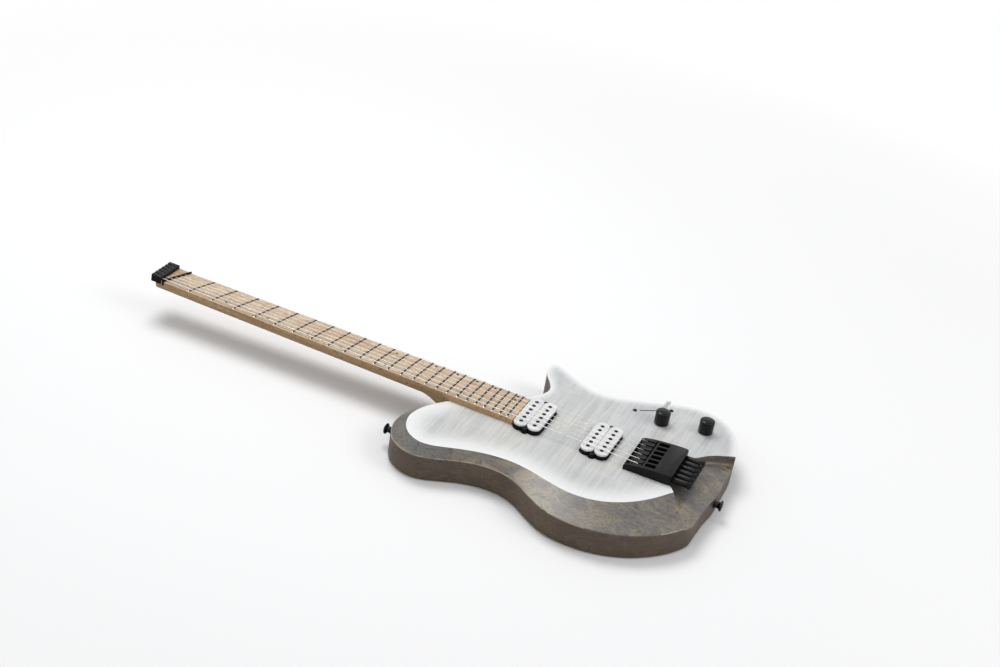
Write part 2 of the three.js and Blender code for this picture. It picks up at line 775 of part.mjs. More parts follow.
// The room for the controls: routed round the switch, the pots and the inner end of the jack
function controlRoom(grow, z0, z1) {
  const [volume, tone] = [knobPoint('volume'), knobPoint('tone')];
  const [switch_front, switch_rear] = [-half_bracket, half_bracket].map((a) => switchPoint(a, 0, 0));
  const jack_end = new THREE.Vector3(jack_x, jack_wall_y - jack_barrel_length, 0);
  const pot_room = pot_radius + cavity_gap + grow;
  const bracket_room = switch_bracket_width / 2 + cavity_gap + grow;
  return joined([
    slotPrism(volume, tone, pot_room, z0, z1),
    slotPrism(switchPoint(0, 0, 0), volume, pot_room, z0, z1),
    slotPrism(tone, jack_end, jack_barrel_radius + cavity_gap + grow, z0, z1),
    slotPrism(switch_front, switch_rear, bracket_room, z0, z1),
    slotPrism(switch_rear, tone, bracket_room, z0, z1),
    prism([volume, tone, switch_rear, switchPoint(0, 0, 0)], z0, z1),
  ]);
}

function controlCavity() {
  const cavity = controlRoom(0, -cut_overrun, body_thickness - cavity_roof);
  return cavity.add(controlRoom(cover_ledge, -cut_overrun, cover_thickness + cover_gap));
}

function bodyCore() {
  const arc = neckSections(0, Math.PI / 2, 2).map((turn) => atHeight(
    grown(outer_loop, -back_round * (1 - Math.sin(turn))), back_round * (1 - Math.cos(turn))));
  const shell = loft([...arc, sideRing(), rampRing(cap_thickness)]);
  return cut(shell, [
    scoopCutter(), neckPocket(), controlCavity(), jackHole(), ...pickupCavities(), ...topHoles(),
    ...spotFaces(),
  ]);
}

function topCap() {
  const rings = [
    rampRing(cap_thickness),
    rampRing(cap_edge_round),
    atHeight(grown(top_loop, -cap_edge_round), body_thickness),
  ];
  return cut(loft(rings), [scoopCutter(), neckPocket(), ...pickupCavities(), ...topHoles()]);
}

function controlCover() {
  return controlRoom(cover_ledge - cover_gap, 0, cover_thickness);
}

// Pickups: a black base that holds two bobbins
function pickupBase(name) {
  const top = body_thickness + pickup_top[name] - bobbin_plate;
  const base = pickupPrism(pickup_x[name], pickup_floor, top, 0);
  const screws = [-1, 1].map((side) => rod(
    pickup_screw_radius, top - pickup_screw_radius, top + cut_overrun, along_z,
    new THREE.Vector3(pickup_x[name], side * (pickup_ear_offset + pickup_screw_radius), 0), 8));
  return cut(base, screws);
}

function bobbin(name, side) {
  const x = pickup_x[name] + (side * coil_pitch) / 2;
  const top = body_thickness + pickup_top[name];
  const plate = prism(moved(stadium(coilY, coil_width / 2), x, 0), top - bobbin_plate, top);
  const poles = stringSlots.map((_, i) => rod(
    pole_radius, top - bobbin_plate / 2, top + pole_rise, along_z,
    new THREE.Vector3(x, poleY(i), 0), 7));
  return joined([plate, ...poles]);
}

function poleY(i) {
  const share = (pickup_x.neck + pickup_x.bridge) / 2 / treble_saddle_x;
  return THREE.MathUtils.lerp(nutStringY(i), bridgeStringY(i), share);
}

// Bridge: a wedge with a tray for the saddles, six channels, their windows and a roof
const channelFloor = body_thickness + bridge_plate;
const tuner_height = bridge_plate + channel_height / 2;
const tunerCentre = (i) => new THREE.Vector3(0, bridgeStringY(i), body_thickness + tuner_height);

function bridgeFrame() {
  const half = bridge_width / 2;
  const side = [
    [bridge_front_x, body_thickness],
    [bridge_rear_x, body_thickness],
    ...bridge_heights.map((height, i) => [
      bridge_front_x + bridge_height_shares[i] * bridge_length, body_thickness + height]).reverse(),
  ];
  const wedge = loft(
    [half, -half].map((y) => side.map(([x, z]) => new THREE.Vector3(x, y, z))),
    (p) => new THREE.Vector2(p.x, p.z));
  const corner = neckSections(0, Math.PI / 2, 4);
  const plan = [
    new THREE.Vector2(bridge_front_x - cut_overrun, half),
    new THREE.Vector2(bridge_front_x - cut_overrun, -half),
    ...corner.map((turn) => new THREE.Vector2(
      bridge_rear_x - bridge_corner_radius * (1 - Math.sin(turn)),
      -half + bridge_corner_radius * (1 - Math.cos(turn)))),
    ...corner.map((turn) => new THREE.Vector2(
      bridge_rear_x - bridge_corner_radius * (1 - Math.cos(turn)),
      half - bridge_corner_radius * (1 - Math.sin(turn)))),
  ];
  const rounded = prism(plan, 0, body_thickness * 2);
  const tray_half = bridge_string_spread / 2 + saddle_width / 2 + running_gap;
  const tray_start = bridge_front_x + bridge_lip_thickness;
  const tray = block(
    tray_start, tray_start + tray_length, -tray_half, tray_half, channelFloor, body_thickness * 2);
  const tools = stringSlots.flatMap((_, i) => channelTools(i, tray_start));
  return cut(wedge.intersect(rounded), [tray, ...tools]);
}

function channelTools(i, tray_start) {
  const y = bridgeStringY(i);
  const channel = block(
    tray_start + tray_length - cut_overrun, channel_end_x, y - channel_width / 2,
    y + channel_width / 2, channelFloor, channelFloor + channel_height);
  const opening = block(
    window_start_x, window_start_x + window_length, y - window_width / 2, y + window_width / 2,
    channelFloor + cut_overrun, body_thickness * 2);
  const rod_bore = rod(
    rod_radius + running_gap, channel_end_x - cut_overrun, bridge_rear_x + cut_overrun, along_x,
    tunerCentre(i), 8);
  const journal_seat = rod(
    thimble_journal_radius + running_gap, bridge_rear_x - thimble_journal_length - running_gap,
    bridge_rear_x + cut_overrun, along_x, tunerCentre(i), 12);
  return [channel, opening, rod_bore, journal_seat];
}

// Saddles: a wedge whose front crest carries the string and whose slot lets it down
const saddle_rear_x = bridge_front_x + bridge_lip_thickness + tray_length - saddle_rear_gap;
const saddleX = (i) => THREE.MathUtils.lerp(bass_saddle_x, treble_saddle_x, stringShare(i));

function saddle(i) {
  const x = saddleX(i);
  const y = bridgeStringY(i);
  const crest = body_thickness + saddle_crest_height;
  const profile = [
    [x - saddle_front, channelFloor],
    [saddle_rear_x, channelFloor],
    [saddle_rear_x, body_thickness + saddle_back_height],
    [x + saddle_front * 2, crest + saddle_front / 3],
    [x + saddle_front / 2, crest],
    [x - saddle_front / 2, crest - saddle_front / 4],
    [x - saddle_front, crest - saddle_front],
  ];
  const wedge = loft(
    [y + saddle_width / 2, y - saddle_width / 2].map((side) => (
      profile.map(([px, pz]) => new THREE.Vector3(px, side, pz)))),
    (p) => new THREE.Vector2(p.x, p.z));
  const slot_start = x + saddle_front;
  const slot_floor = body_thickness + saddle_slot_floor;
  const slot = block(
    slot_start, saddle_rear_x + cut_overrun, y - saddle_slot_width / 2,
    y + saddle_slot_width / 2, slot_floor, body_thickness * 2);
  const groove_radius = stringRadius(i) + string_seat_gap;
  const groove = block(
    x - saddle_front - cut_overrun, slot_start + cut_overrun, y - groove_radius, y + groove_radius,
    saddleStringZ(i) - groove_radius, body_thickness * 2);
  return cut(wedge, [slot, groove]);
}

const saddleStringZ = (i) => (
  body_thickness + saddle_crest_height - string_seat_gap + stringRadius(i));

// Pullers and thimbles
function puller(i) {
  const y = bridgeStringY(i);
  const z = body_thickness + tuner_height;
  const end = puller_front_x + puller_length;
  const half = channel_width / 2 - puller_gap;
  const body = block(
    puller_front_x, end, y - half, y + half, channelFloor + puller_gap,
    channelFloor + channel_height - puller_gap);
  const slot = block(
    puller_front_x - cut_overrun, puller_front_x + puller_slot_length, y - puller_slot_width / 2,
    y + puller_slot_width / 2, z - puller_slot_width / 2, z + channel_height);
  const screw = rod(rod_radius, end - cut_overrun, bridge_rear_x + rod_reach, along_x,
    tunerCentre(i), 8);
  return cut(body, [slot]).add(screw);
}

function scallopedLoop(radius, count, depth, steps) {
  const total = count * steps;
  return Array.from({ length: total }, (_, i) => {
    const turn = (full_turn * i) / total;
    const r = radius - depth * (1 - Math.abs(Math.cos((count * turn) / 2)));
    return [r * Math.cos(turn), r * Math.sin(turn)];
  });
}

function thimble(i) {
  const start = bridge_rear_x + running_gap;
  const end = start + thimble_length;
  const crown_start = end - thimble_crown_length;
  const sleeve = turned([
    [0, start - thimble_journal_length], [thimble_journal_radius, start - thimble_journal_length],
    [thimble_journal_radius, start], [thimble_radius, start],
    [thimble_radius, crown_start + cut_overrun], [0, crown_start + cut_overrun],
  ], along_x, tunerCentre(i), 10);
  const rim = scallopedLoop(thimble_crown_radius, thimble_scallops, thimble_scallop_depth, 2);
  const centre = tunerCentre(i);
  const ringAt = (x, scale) => rim.map(([a, b]) => new THREE.Vector3(
    x, centre.y + a * scale, centre.z + b * scale));
  const crown = loft(
    [ringAt(crown_start, 1), ringAt(end - thimble_scallop_depth, 1),
      ringAt(end, thimble_radius / thimble_crown_radius)], neck_flat);
  const bore = rod(
    rod_radius + running_gap, start - thimble_journal_length - cut_overrun, end - thimble_wall,
    along_x, centre, 8);
  return cut(sleeve.add(crown), [bore]);
}

// Strings, made whole along their real route from clamp to puller
function stringRoute(i) {
  const z_nut = nutStringZ(i);
  const y_nut = nutStringY(i);
  const y = bridgeStringY(i);
  const crest = saddleStringZ(i);
  const hook_x = puller_front_x + puller_slot_length / 2;
  const hook_z = body_thickness + tuner_height;
  const x = saddleX(i);
  return [
    fromNeck(head_rear_x + clamp_screw_length + glue_gap * 2, y_nut, z_nut),
    fromNeck(nutX(i) - nut_thickness, y_nut, z_nut),
    fromNeck(nutX(i), y_nut, z_nut),
    new THREE.Vector3(x - saddle_front, y, crest),
    new THREE.Vector3(x + saddle_front / 2, y, crest),
    new THREE.Vector3(x + saddle_front * 2, y, THREE.MathUtils.lerp(crest, hook_z, 1 / 6)),
    new THREE.Vector3(hook_x, y, hook_z),
  ];
}

function string(i) {
  const route = stringRoute(i);
  const rings = route.map((p, k) => {
    const ahead = route[Math.min(k + 1, route.length - 1)];
    const behind = route[Math.max(k - 1, 0)];
    const direction = ahead.clone().sub(behind).normalize();
    const across = new THREE.Vector3(0, 1, 0).cross(direction).normalize();
    const sideways = direction.clone().cross(across).normalize();
    return neckSections(0, full_turn, 6).slice(0, 5).map((turn) => p.clone()
      .addScaledVector(sideways, stringRadius(i) * Math.cos(turn))
      .addScaledVector(across, -stringRadius(i) * Math.sin(turn)));
  });
  return loft(rings, neck_flat);
}

// Controls
function knob(name) {
  const bottom = body_thickness + knob_lift;
  const top = bottom + knob_height;
  const rim = scallopedLoop(knob_radius, knob_flutes, knob_flute_depth, 2);
  const centre = knobPoint(name);
  const ringAt = (z, scale) => rim.map(([a, b]) => new THREE.Vector3(
    centre.x + a * scale, centre.y + b * scale, z));
  const edge = 1 - knob_edge / knob_radius;
  const side = loft([ringAt(bottom, 1), ringAt(top - knob_dome - knob_edge, 1),
    ringAt(top - knob_dome, edge)]);
  const crown_radius = knob_radius * edge * edge;
  const dome = turned([
    [0, top - knob_dome - knob_edge], [crown_radius, top - knob_dome - knob_edge],
    [crown_radius, top - knob_dome], [crown_radius * edge, top - knob_dome / 2],
    [crown_radius / 2, top - knob_dome / 8], [0, top],
  ], along_z, centre, 16);
  const bore = rod(shaft_radius + running_gap, bottom - cut_overrun, bottom + knob_bore_depth,
    along_z, centre, 12);
  const skirt = rod(pot_nut_radius + running_gap, bottom - cut_overrun, bottom + cut_overrun,
    along_z, centre, 12);
  return cut(side.add(dome), [bore, skirt]);
}

const pot_ceiling = body_thickness - cavity_roof;

function pot(name) {
  const centre = knobPoint(name);
  const can = rod(pot_radius, pot_ceiling - pot_height, pot_ceiling, along_z, centre, 20);
  const nut_top = body_thickness + pot_nut_height;
  const bushing = rod(bushing_radius, pot_ceiling - cut_overrun, nut_top, along_z, centre, 12);
  const ring = rod(pot_nut_radius, body_thickness, nut_top, along_z, centre, 6);
  const bore = rod(
    shaft_radius + running_gap, pot_ceiling - shaft_seat_depth - running_gap,
    nut_top + cut_overrun, along_z, centre, 12);
  return cut(joined([can, bushing, ring]), [bore]);
}

function shaft(name) {
  const top = body_thickness + knob_lift + knob_bore_depth - running_gap;
  return rod(shaft_radius, pot_ceiling - shaft_seat_depth, top, along_z, knobPoint(name), 12);
}

// Blade switch
function switchBody() {
  const bracket = switchBlock(
    -half_bracket, half_bracket, -switch_bracket_width / 2, switch_bracket_width / 2,
    pot_ceiling - switch_bracket_thickness, pot_ceiling);
  const housing = switchBlock(
    -switch_body_length / 2, switch_body_length / 2, -switch_bracket_width / 2,
    switch_bracket_width / 2, pot_ceiling - switch_body_height, pot_ceiling);
  const throat = switchBlock(
    -switch_slot_length / 2, switch_slot_length / 2, -switch_throat_width / 2,
    switch_throat_width / 2, pot_ceiling - switch_body_height + switch_bracket_thickness,
    pot_ceiling + cut_overrun);
  return cut(bracket.add(housing), [throat, ...switchHoles(switch_screw_radius + running_gap)]);
}

// The lever stands in its own frame, pivot at the origin and blade along z, then leans
const switch_turn = new THREE.Matrix4().makeRotationZ(switch_angle);
const lever_lean = new THREE.Matrix4().makeRotationY(lever_tilt);
const lever_place = new THREE.Matrix4()
  .makeTranslation(switch_x, switch_y, body_thickness - lever_pivot_depth)
  .multiply(switch_turn)
  .multiply(lever_lean);
const blade_top = lever_pivot_depth / Math.cos(lever_tilt) + lever_rise;

function switchLever() {
  const blade = block(
    -lever_width / 2, lever_width / 2, -lever_thickness / 2, lever_thickness / 2, 0, blade_top);
  const hub = rod(
    lever_width / 2, -lever_thickness / 2, lever_thickness / 2, along_y, new THREE.Vector3());
  const pin = rod(
    lever_pin_radius / 2, -switch_throat_width / 2 + running_gap,
    switch_throat_width / 2 - running_gap, along_y, new THREE.Vector3(), 12);
  return joined([blade, hub, pin]);
}

function switchTip() {
  const foot = blade_top - tip_grip;
  const cone = turned([
    [0, foot], [tip_foot_radius, foot],
    [tip_top_radius, foot + tip_length * tip_shoulder_share],
    [tip_top_radius * tip_shoulder_share, foot + tip_length * tip_dome_share],
    [0, foot + tip_length],
  ], along_z, new THREE.Vector3(), 12);
  const wide = new THREE.Matrix4().makeScale(tip_paddle_share, 1, 1);
  const paddle = solidOf(geometryOf(cone).applyMatrix4(wide));
  const socket = block(
    -lever_width / 2 - running_gap / 2, lever_width / 2 + running_gap / 2,
    -lever_thickness / 2 - running_gap / 2, lever_thickness / 2 + running_gap / 2,
    foot - cut_overrun, blade_top + running_gap);
  return cut(paddle, [socket]);
}

function switchScrew(side) {
  const centre = switchPoint((side * switch_screw_pitch) / 2, 0, 0);
  const end = pot_ceiling - switch_bracket_thickness;
  const top = body_thickness + switch_head_height;
  const screw = turned([
    [0, end], [switch_screw_radius, end], [switch_screw_radius, body_thickness],
    [switch_head_radius, body_thickness], [switch_head_radius, top - switch_head_height / 2],
    [switch_screw_radius, top], [0, top],
  ], along_z, centre, 12);
  const key = rod(
    switch_screw_radius / 2, top - switch_head_height / 2, top + cut_overrun, along_z, centre, 6);
  return cut(screw, [key]);
}

// Output jack and strap buttons
function outputJack() {
  const seat = jack_wall_y - jack_flange_thickness;
  const inner = jack_wall_y - jack_barrel_length;
  return turned([
    [0, inner], [jack_barrel_radius, inner], [jack_barrel_radius, seat],
    [jack_flange_radius, seat], [jack_flange_radius, jack_wall_y], [jack_bore_radius, jack_wall_y],
    [jack_bore_radius, inner + jack_flange_thickness], [0, inner + jack_flange_thickness],
  ], along_y, jack_centre, 20);
}

// A strap button stands in a spot face sunk a little into the side wall
function strapButton(seat) {
  const waist = (button_length - button_rim) / 2;
  return turned([
    [0, 0], [button_radius, 0], [button_radius, button_rim / 2], [button_neck_radius, waist],
    [button_neck_radius, button_length - button_rim - button_rim / 2],
    [button_radius, button_length - button_rim / 2], [button_radius - button_rim / 2, button_length],
    [0, button_length],
  ], seat.direction, seat.centre, 16);
}

// Assembly
const guitar = new THREE.Group();
const neck_group = new THREE.Group();
neck_group.applyMatrix4(neck_matrix);
guitar.add(neck_group);

function place(name, solid, material, parent = guitar) {
  const mesh = new THREE.Mesh(geometryOf(solid), material);
  mesh.name = name;
  parent.add(mesh);
  return mesh;
}

place('body_core', bodyCore(), grey_burl);
place('top_cap', topCap(), white_maple);
place('control_cover', controlCover(), black_plastic);

place('neck', neck(), birdseye_maple, neck_group);
place('fingerboard', fingerboard(), birdseye_maple, neck_group);
place('truss_rod', trussRod(), zinc, neck_group);
place('truss_nut', trussNut(), zinc, neck_group);
place('nut', nut(), black_plastic, neck_group);
place('headpiece', headPiece(), black_metal, neck_group);

for (const name of Object.keys(pickup_x)) {
  place(`${name}_pickup_base`, pickupBase(name), black_plastic);
  place(`${name}_pickup_bobbin_front`, bobbin(name, -1), white_plastic);
  place(`${name}_pickup_bobbin_rear`, bobbin(name, 1), white_plastic);
}

place('bridge_frame', bridgeFrame(), black_metal);

stringSlots.forEach((_, i) => {
  const number = string_count - i;
  place(`clamp_screw_${number}`, clampScrew(i), black_metal, neck_group);
  place(`saddle_${number}`, saddle(i), black_metal);
  place(`string_puller_${number}`, puller(i), black_metal);
  place(`tuner_thimble_${number}`, thimble(i), black_metal);
  place(`string_${number}`, string(i), bright_steel);
});

for (const name of Object.keys(knob_shares)) {
  place(`${name}_knob`, knob(name), black_metal);
  place(`${name}_shaft`, shaft(name), zinc);
  place(`${name}_pot`, pot(name), zinc);
}

place('switch_body', switchBody(), black_plastic);
const lever_group = new THREE.Group();
lever_group.applyMatrix4(lever_place);
guitar.add(lever_group);
place('switch_lever', switchLever(), zinc, lever_group);
place('switch_tip', switchTip(), white_plastic, lever_group);
place('switch_screw_front', switchScrew(-1), black_metal);
place('switch_screw_rear', switchScrew(1), black_metal);

place('output_jack', outputJack(), black_metal);
place('strap_button_horn', strapButton(button_seats.horn), black_metal);
place('strap_button_tail', strapButton(button_seats.tail), black_metal);

// The origin is the middle of the whole guitar's footprint, at the back of the body
const bounds = new THREE.Box3().setFromObject(guitar, true);
const middle = bounds.getCenter(new THREE.Vector3());
guitar.position.set(-middle.x, -middle.y, -bounds.min.z);

export default guitar;
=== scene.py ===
"""Looks of a headless travel guitar with fanned frets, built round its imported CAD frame.

Pieces are shaped in the millimetres of the guitar's drawing: x runs along the strings from the
treble end of the nut to the tail, y from the bass side to the treble side and z up from the back
of the body. A finished piece is set into the row frame in metres, with its object at the origin.
"""

import logging
import math
from dataclasses import dataclass
from enum import Enum
from typing import Callable, Sequence

import bmesh
import bpy
from mathutils import Matrix, Vector, kdtree


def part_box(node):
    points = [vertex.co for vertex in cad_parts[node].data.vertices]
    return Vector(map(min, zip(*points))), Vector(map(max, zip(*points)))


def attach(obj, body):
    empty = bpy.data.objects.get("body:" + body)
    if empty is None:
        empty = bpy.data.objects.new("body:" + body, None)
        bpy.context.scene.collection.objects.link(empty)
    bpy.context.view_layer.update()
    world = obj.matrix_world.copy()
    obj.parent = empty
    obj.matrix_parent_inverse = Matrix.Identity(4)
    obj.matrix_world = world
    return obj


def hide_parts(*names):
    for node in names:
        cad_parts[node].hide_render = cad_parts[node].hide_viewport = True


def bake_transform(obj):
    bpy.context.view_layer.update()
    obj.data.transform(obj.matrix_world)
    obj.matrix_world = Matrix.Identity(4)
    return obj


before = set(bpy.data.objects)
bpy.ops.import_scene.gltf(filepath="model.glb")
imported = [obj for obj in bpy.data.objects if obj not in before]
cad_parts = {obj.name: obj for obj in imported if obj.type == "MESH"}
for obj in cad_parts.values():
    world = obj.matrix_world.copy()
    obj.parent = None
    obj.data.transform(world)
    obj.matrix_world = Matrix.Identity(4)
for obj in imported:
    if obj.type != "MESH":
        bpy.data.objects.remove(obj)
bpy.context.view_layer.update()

LOG = logging.getLogger("guitar")
MM = 0.001
GUITAR = "guitar"
Point = Sequence[float]

BODY_TOP = 44.0
BRIDGE_FRONT = 643.0
BASS_SCALE, BASS_SADDLE = 669.3, 653.1
TREBLE_SCALE, TREBLE_SADDLE = 648.0, 647.6
STRING_COUNT = 6
GAUGES = (1.17, 0.91, 0.66, 0.46, 0.36, 0.3)
NECK_TILT = math.radians(0.8)
BOARD_END, BOARD_END_RISE = 494.6, 8.4
FRET_HEIGHT, FRET_COUNT = 1.0, 24
BOARD_BOTTOM = -FRET_HEIGHT - 6.0
NECK_LIFT = BODY_TOP + BOARD_END_RISE + FRET_HEIGHT + BOARD_END * math.sin(NECK_TILT)
NECK_FRAME = Matrix.Translation((0, 0, NECK_LIFT)) @ Matrix.Rotation(NECK_TILT, 4, "Y")
SPREAD = [i / (STRING_COUNT - 1) - 0.5 for i in range(STRING_COUNT)]
NUT_SPREAD, BRIDGE_SPREAD = 35.5, 52.5
NUT_THICKNESS, STRING_RISE = 3.2, 0.4
CREST, TUNER_AXIS = BODY_TOP + 9.0, BODY_TOP + 4.6


def drawing_origin() -> Vector:
    """Find the drawing's origin in the row frame."""
    low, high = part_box("bridge_frame")
    return Vector((low.x - BRIDGE_FRONT * MM, (low.y + high.y) / 2, 0.0))


ORIGIN = drawing_origin()
TO_FRAME = Matrix.Translation(ORIGIN) @ Matrix.Scale(MM, 4)


def lerp(a: float, b: float, share: float) -> float:
    """Return the value a share of the way from a to b."""
    return a + (b - a) * share


def clamped(value: float) -> float:
    """Return a value held between 0 and 1."""
    return min(1.0, max(0.0, value))


def eased(value: float) -> float:
    """Return a value held between 0 and 1, with a soft start and end."""
    share = clamped(value)
    return share * share * (3 - 2 * share)


def spaced(start: float, end: float, count: int) -> list[float]:
    """Return evenly spaced values, both ends included."""
    return [lerp(start, end, i / (count - 1)) for i in range(count)]


def bass_fret(number: float) -> float:
    """Return the x of a fret's line on the bass scale."""
    return BASS_SADDLE - BASS_SCALE * 2 ** (-number / 12)


def treble_fret(number: float) -> float:
    """Return the x of a fret's line on the treble scale."""
    return TREBLE_SADDLE - TREBLE_SCALE * 2 ** (-number / 12)


def saddle_x(i: int) -> float:
    """Return the x of a saddle's crest, 0 for the bass string."""
    return lerp(BASS_SADDLE, TREBLE_SADDLE, i / (STRING_COUNT - 1))


def along_axis(direction: Point, centre: Point) -> Matrix:
    """Make the matrix that stands the z axis along a direction at a centre."""
    turn = Vector(direction).to_track_quat("Z", "Y").to_matrix().to_4x4()
    return Matrix.Translation(Vector(centre)) @ turn


def upright(edge: bmesh.types.BMEdge) -> bool:
    """Say whether an edge stands upright and is longer than a facet."""
    return abs((edge.verts[0].co - edge.verts[1].co).z) > 5


def linked(name: str, data: bpy.types.ID) -> bpy.types.Object:
    """Make an object of a data block and link it to the scene."""
    made = bpy.data.objects.new(name, data)
    bpy.context.scene.collection.objects.link(made)
    return made


def marked(made: bpy.types.Object, name: str, values: Sequence[float],
           domain: str = "FACE") -> None:
    """Store a value for each face or point, under a name that a finish reads."""
    mark = made.data.attributes.new(name, "FLOAT", domain)
    mark.data.foreach_set("value", values)


def finder(points: Sequence[Vector]) -> kdtree.KDTree:
    """Make a search tree of the drawing's points, set in the row frame."""
    tree = kdtree.KDTree(len(points))
    for i, p in enumerate(points):
        tree.insert(ORIGIN + p * MM, i)
    tree.balance()
    return tree


class Blank:
    """A piece of stock that is shaped in the drawing's millimetres."""

    def __init__(self) -> None:
        """Start with no stock."""
        self.bm = bmesh.new()

    @classmethod
    def block(cls, low: Point, high: Point) -> "Blank":
        """Saw a rectangular block.

        Args:
            low: Lowest corner.
            high: Highest corner.

        Returns:
            The block.
        """
        blank = cls()
        low, high = Vector(low), Vector(high)
        bmesh.ops.create_cube(blank.bm, size=1.0)
        bmesh.ops.scale(blank.bm, vec=high - low, verts=blank.bm.verts)
        bmesh.ops.translate(blank.bm, vec=(low + high) / 2, verts=blank.bm.verts)
        return blank

    @classmethod
    def turned(cls, profile: Sequence[Point], steps: int = 40) -> "Blank":
        """Turn a profile round the z axis, as on a lathe.

        Args:
            profile: Pairs of radius and height, from axis to axis.
            steps: Facets of the full turn.

        Returns:
            The turned piece.
        """
        blank = cls()
        verts = [blank.bm.verts.new((radius, 0, height)) for radius, height in profile]
        edges = [blank.bm.edges.new(pair) for pair in zip(verts, verts[1:])]
        bmesh.ops.spin(
            blank.bm, geom=verts + edges, cent=(0, 0, 0), axis=(0, 0, 1), dvec=(0, 0, 0),
            angle=2 * math.pi, steps=steps, use_merge=True, use_duplicate=False)
        return blank.closed()

    @classmethod
    def lofted(cls, rings: Sequence[Sequence[Point]]) -> "Blank":
        """Bridge closed rings of equal count and cap both ends.

        Args:
            rings: The rings, in order.

        Returns:
            The closed piece.
        """
        blank = cls()
        loops = []
        for ring in rings:
            verts = [blank.bm.verts.new(point) for point in ring]
            loops.append([
                blank.bm.edges.new((a, b)) for a, b in zip(verts, verts[1:] + verts[:1])])
        for near, far in zip(loops, loops[1:]):
            bmesh.ops.bridge_loops(blank.bm, edges=near + far)
        for end in (loops[0], loops[-1]):
            bmesh.ops.contextual_create(blank.bm, geom=end)
        return blank.closed()

    @classmethod
    def prism(cls, outline: Sequence[Point], low: float, high: float) -> "Blank":
        """Raise an outline in the xy plane from one height to another."""
        return cls.lofted([[(p[0], p[1], z) for p in outline] for z in (low, high)])

    def closed(self) -> "Blank":
        """Merge doubles and turn the faces outwards."""
        bmesh.ops.remove_doubles(self.bm, verts=self.bm.verts, dist=0.0005)
        bmesh.ops.recalc_face_normals(self.bm, faces=self.bm.faces)
        return self

    def seated(self, matrix: Matrix) -> "Blank":
        """Move the piece by a matrix and return it."""
        bmesh.ops.transform(self.bm, matrix=matrix, verts=self.bm.verts)
        return self

    def beside(self, *others: "Blank") -> "Blank":
        """Take other pieces into this one, side by side.

        Args:
            others: Pieces that are used up.

        Returns:
            The same piece.
        """
        for other in others:
            mesh = bpy.data.meshes.new("stock")
            other.bm.to_mesh(mesh)
            other.bm.free()
            self.bm.from_mesh(mesh)
            bpy.data.meshes.remove(mesh)
        return self

    def rounded(self, width: float, segments: int, sharper_than: float = 30.0,
                picked: Callable[[bmesh.types.BMEdge], bool] | None = None) -> "Blank":
        """Round the sharp edges.

        Args:
            width: How far the rounding reaches.
            segments: Facets across it.
            sharper_than: Least angle, in degrees, of an edge that is rounded.
            picked: A further test that an edge has to pass.

        Returns:
            The same piece.
        """
        limit = math.radians(sharper_than)
        edges = [
            e for e in self.bm.edges
            if e.calc_face_angle(0.0) > limit and (picked is None or picked(e))]
        bmesh.ops.bevel(
            self.bm, geom=edges, offset=width, offset_type="OFFSET", segments=segments,
            profile=0.5, affect="EDGES", clamp_overlap=True, material=-1)
        return self

    def sliced(self, point: Point, away: Point) -> "Blank":
        """Saw off all that lies beyond a plane.

        Args:
            point: A point on the plane.
            away: The plane's normal, on the side that is lost.

        Returns:
            The same piece, closed at the cut.
        """
        geometry = self.bm.verts[:] + self.bm.edges[:] + self.bm.faces[:]
        bmesh.ops.bisect_plane(
            self.bm, geom=geometry, plane_co=Vector(point), plane_no=Vector(away),
            clear_outer=True)
        rim = [e for e in self.bm.edges if e.is_boundary]
        bmesh.ops.contextual_create(self.bm, geom=rim)
        return self.closed()

    def gridded(self, step: float) -> "Blank":
        """Cut the faces that look up along a square grid, so that a value can vary across them.

        Args:
            step: The grid's pitch.

        Returns:
            The same piece.
        """
        flat = [f for f in self.bm.faces if f.normal.z > 0.99]
        bmesh.ops.triangulate(self.bm, faces=flat)
        for axis in (0, 1):
            along = Vector((axis == 0, axis == 1, 0))
            places = [v.co[axis] for v in self.bm.verts]
            for k in range(math.ceil(min(places) / step), math.ceil(max(places) / step)):
                faces = [f for f in self.bm.faces if f.normal.z > 0.99]
                edges = list({e for f in faces for e in f.edges})
                verts = list({v for f in faces for v in f.verts})
                bmesh.ops.bisect_plane(
                    self.bm, geom=verts + edges + faces, plane_co=along * k * step, plane_no=along)
        return self

    def as_object(self, name: str) -> bpy.types.Object:
        """Make a scene object of the stock as it stands, and use the stock up.

        Args:
            name: The object's name.

        Returns:
            The object.
        """
        mesh = bpy.data.meshes.new(name)
        self.bm.to_mesh(mesh)
        self.bm.free()
        return linked(name, mesh)

    def worked(self, tool: "Blank", operation: str) -> "Blank":
        """Cut with a tool, or weld a piece on.

        Args:
            tool: The other piece, which is used up.
            operation: DIFFERENCE, UNION or INTERSECT.

        Returns:
            The same piece.
        """
        target, other = self.as_object("work"), tool.as_object("tool")
        change = target.modifiers.new("work", "BOOLEAN")
        change.object, change.operation = other, operation
        change.solver, change.use_self = "EXACT", True
        depsgraph = bpy.context.evaluated_depsgraph_get()
        mesh = bpy.data.meshes.new_from_object(target.evaluated_get(depsgraph))
        self.bm = bmesh.new()
        self.bm.from_mesh(mesh)
        for used in (target, other):
            data = used.data
            bpy.data.objects.remove(used)
            bpy.data.meshes.remove(data)
        bpy.data.meshes.remove(mesh)
        return self

    @staticmethod
    def together(pieces: Sequence["Blank"]) -> "Blank":
        """Take a row of pieces, side by side, into its first one."""
        first, *rest = pieces
        return first.beside(*rest)

    @staticmethod
    def fused(pieces: Sequence["Blank"]) -> "Blank":
        """Weld a row of overlapping pieces into one skin."""
        first, *rest = pieces
        return first.worked(Blank.together(rest), "UNION")

    def cut(self, *tools: "Blank") -> "Blank":
        """Cut away what the tools cover and return the piece."""
        return self.worked(Blank.together(tools), "DIFFERENCE")

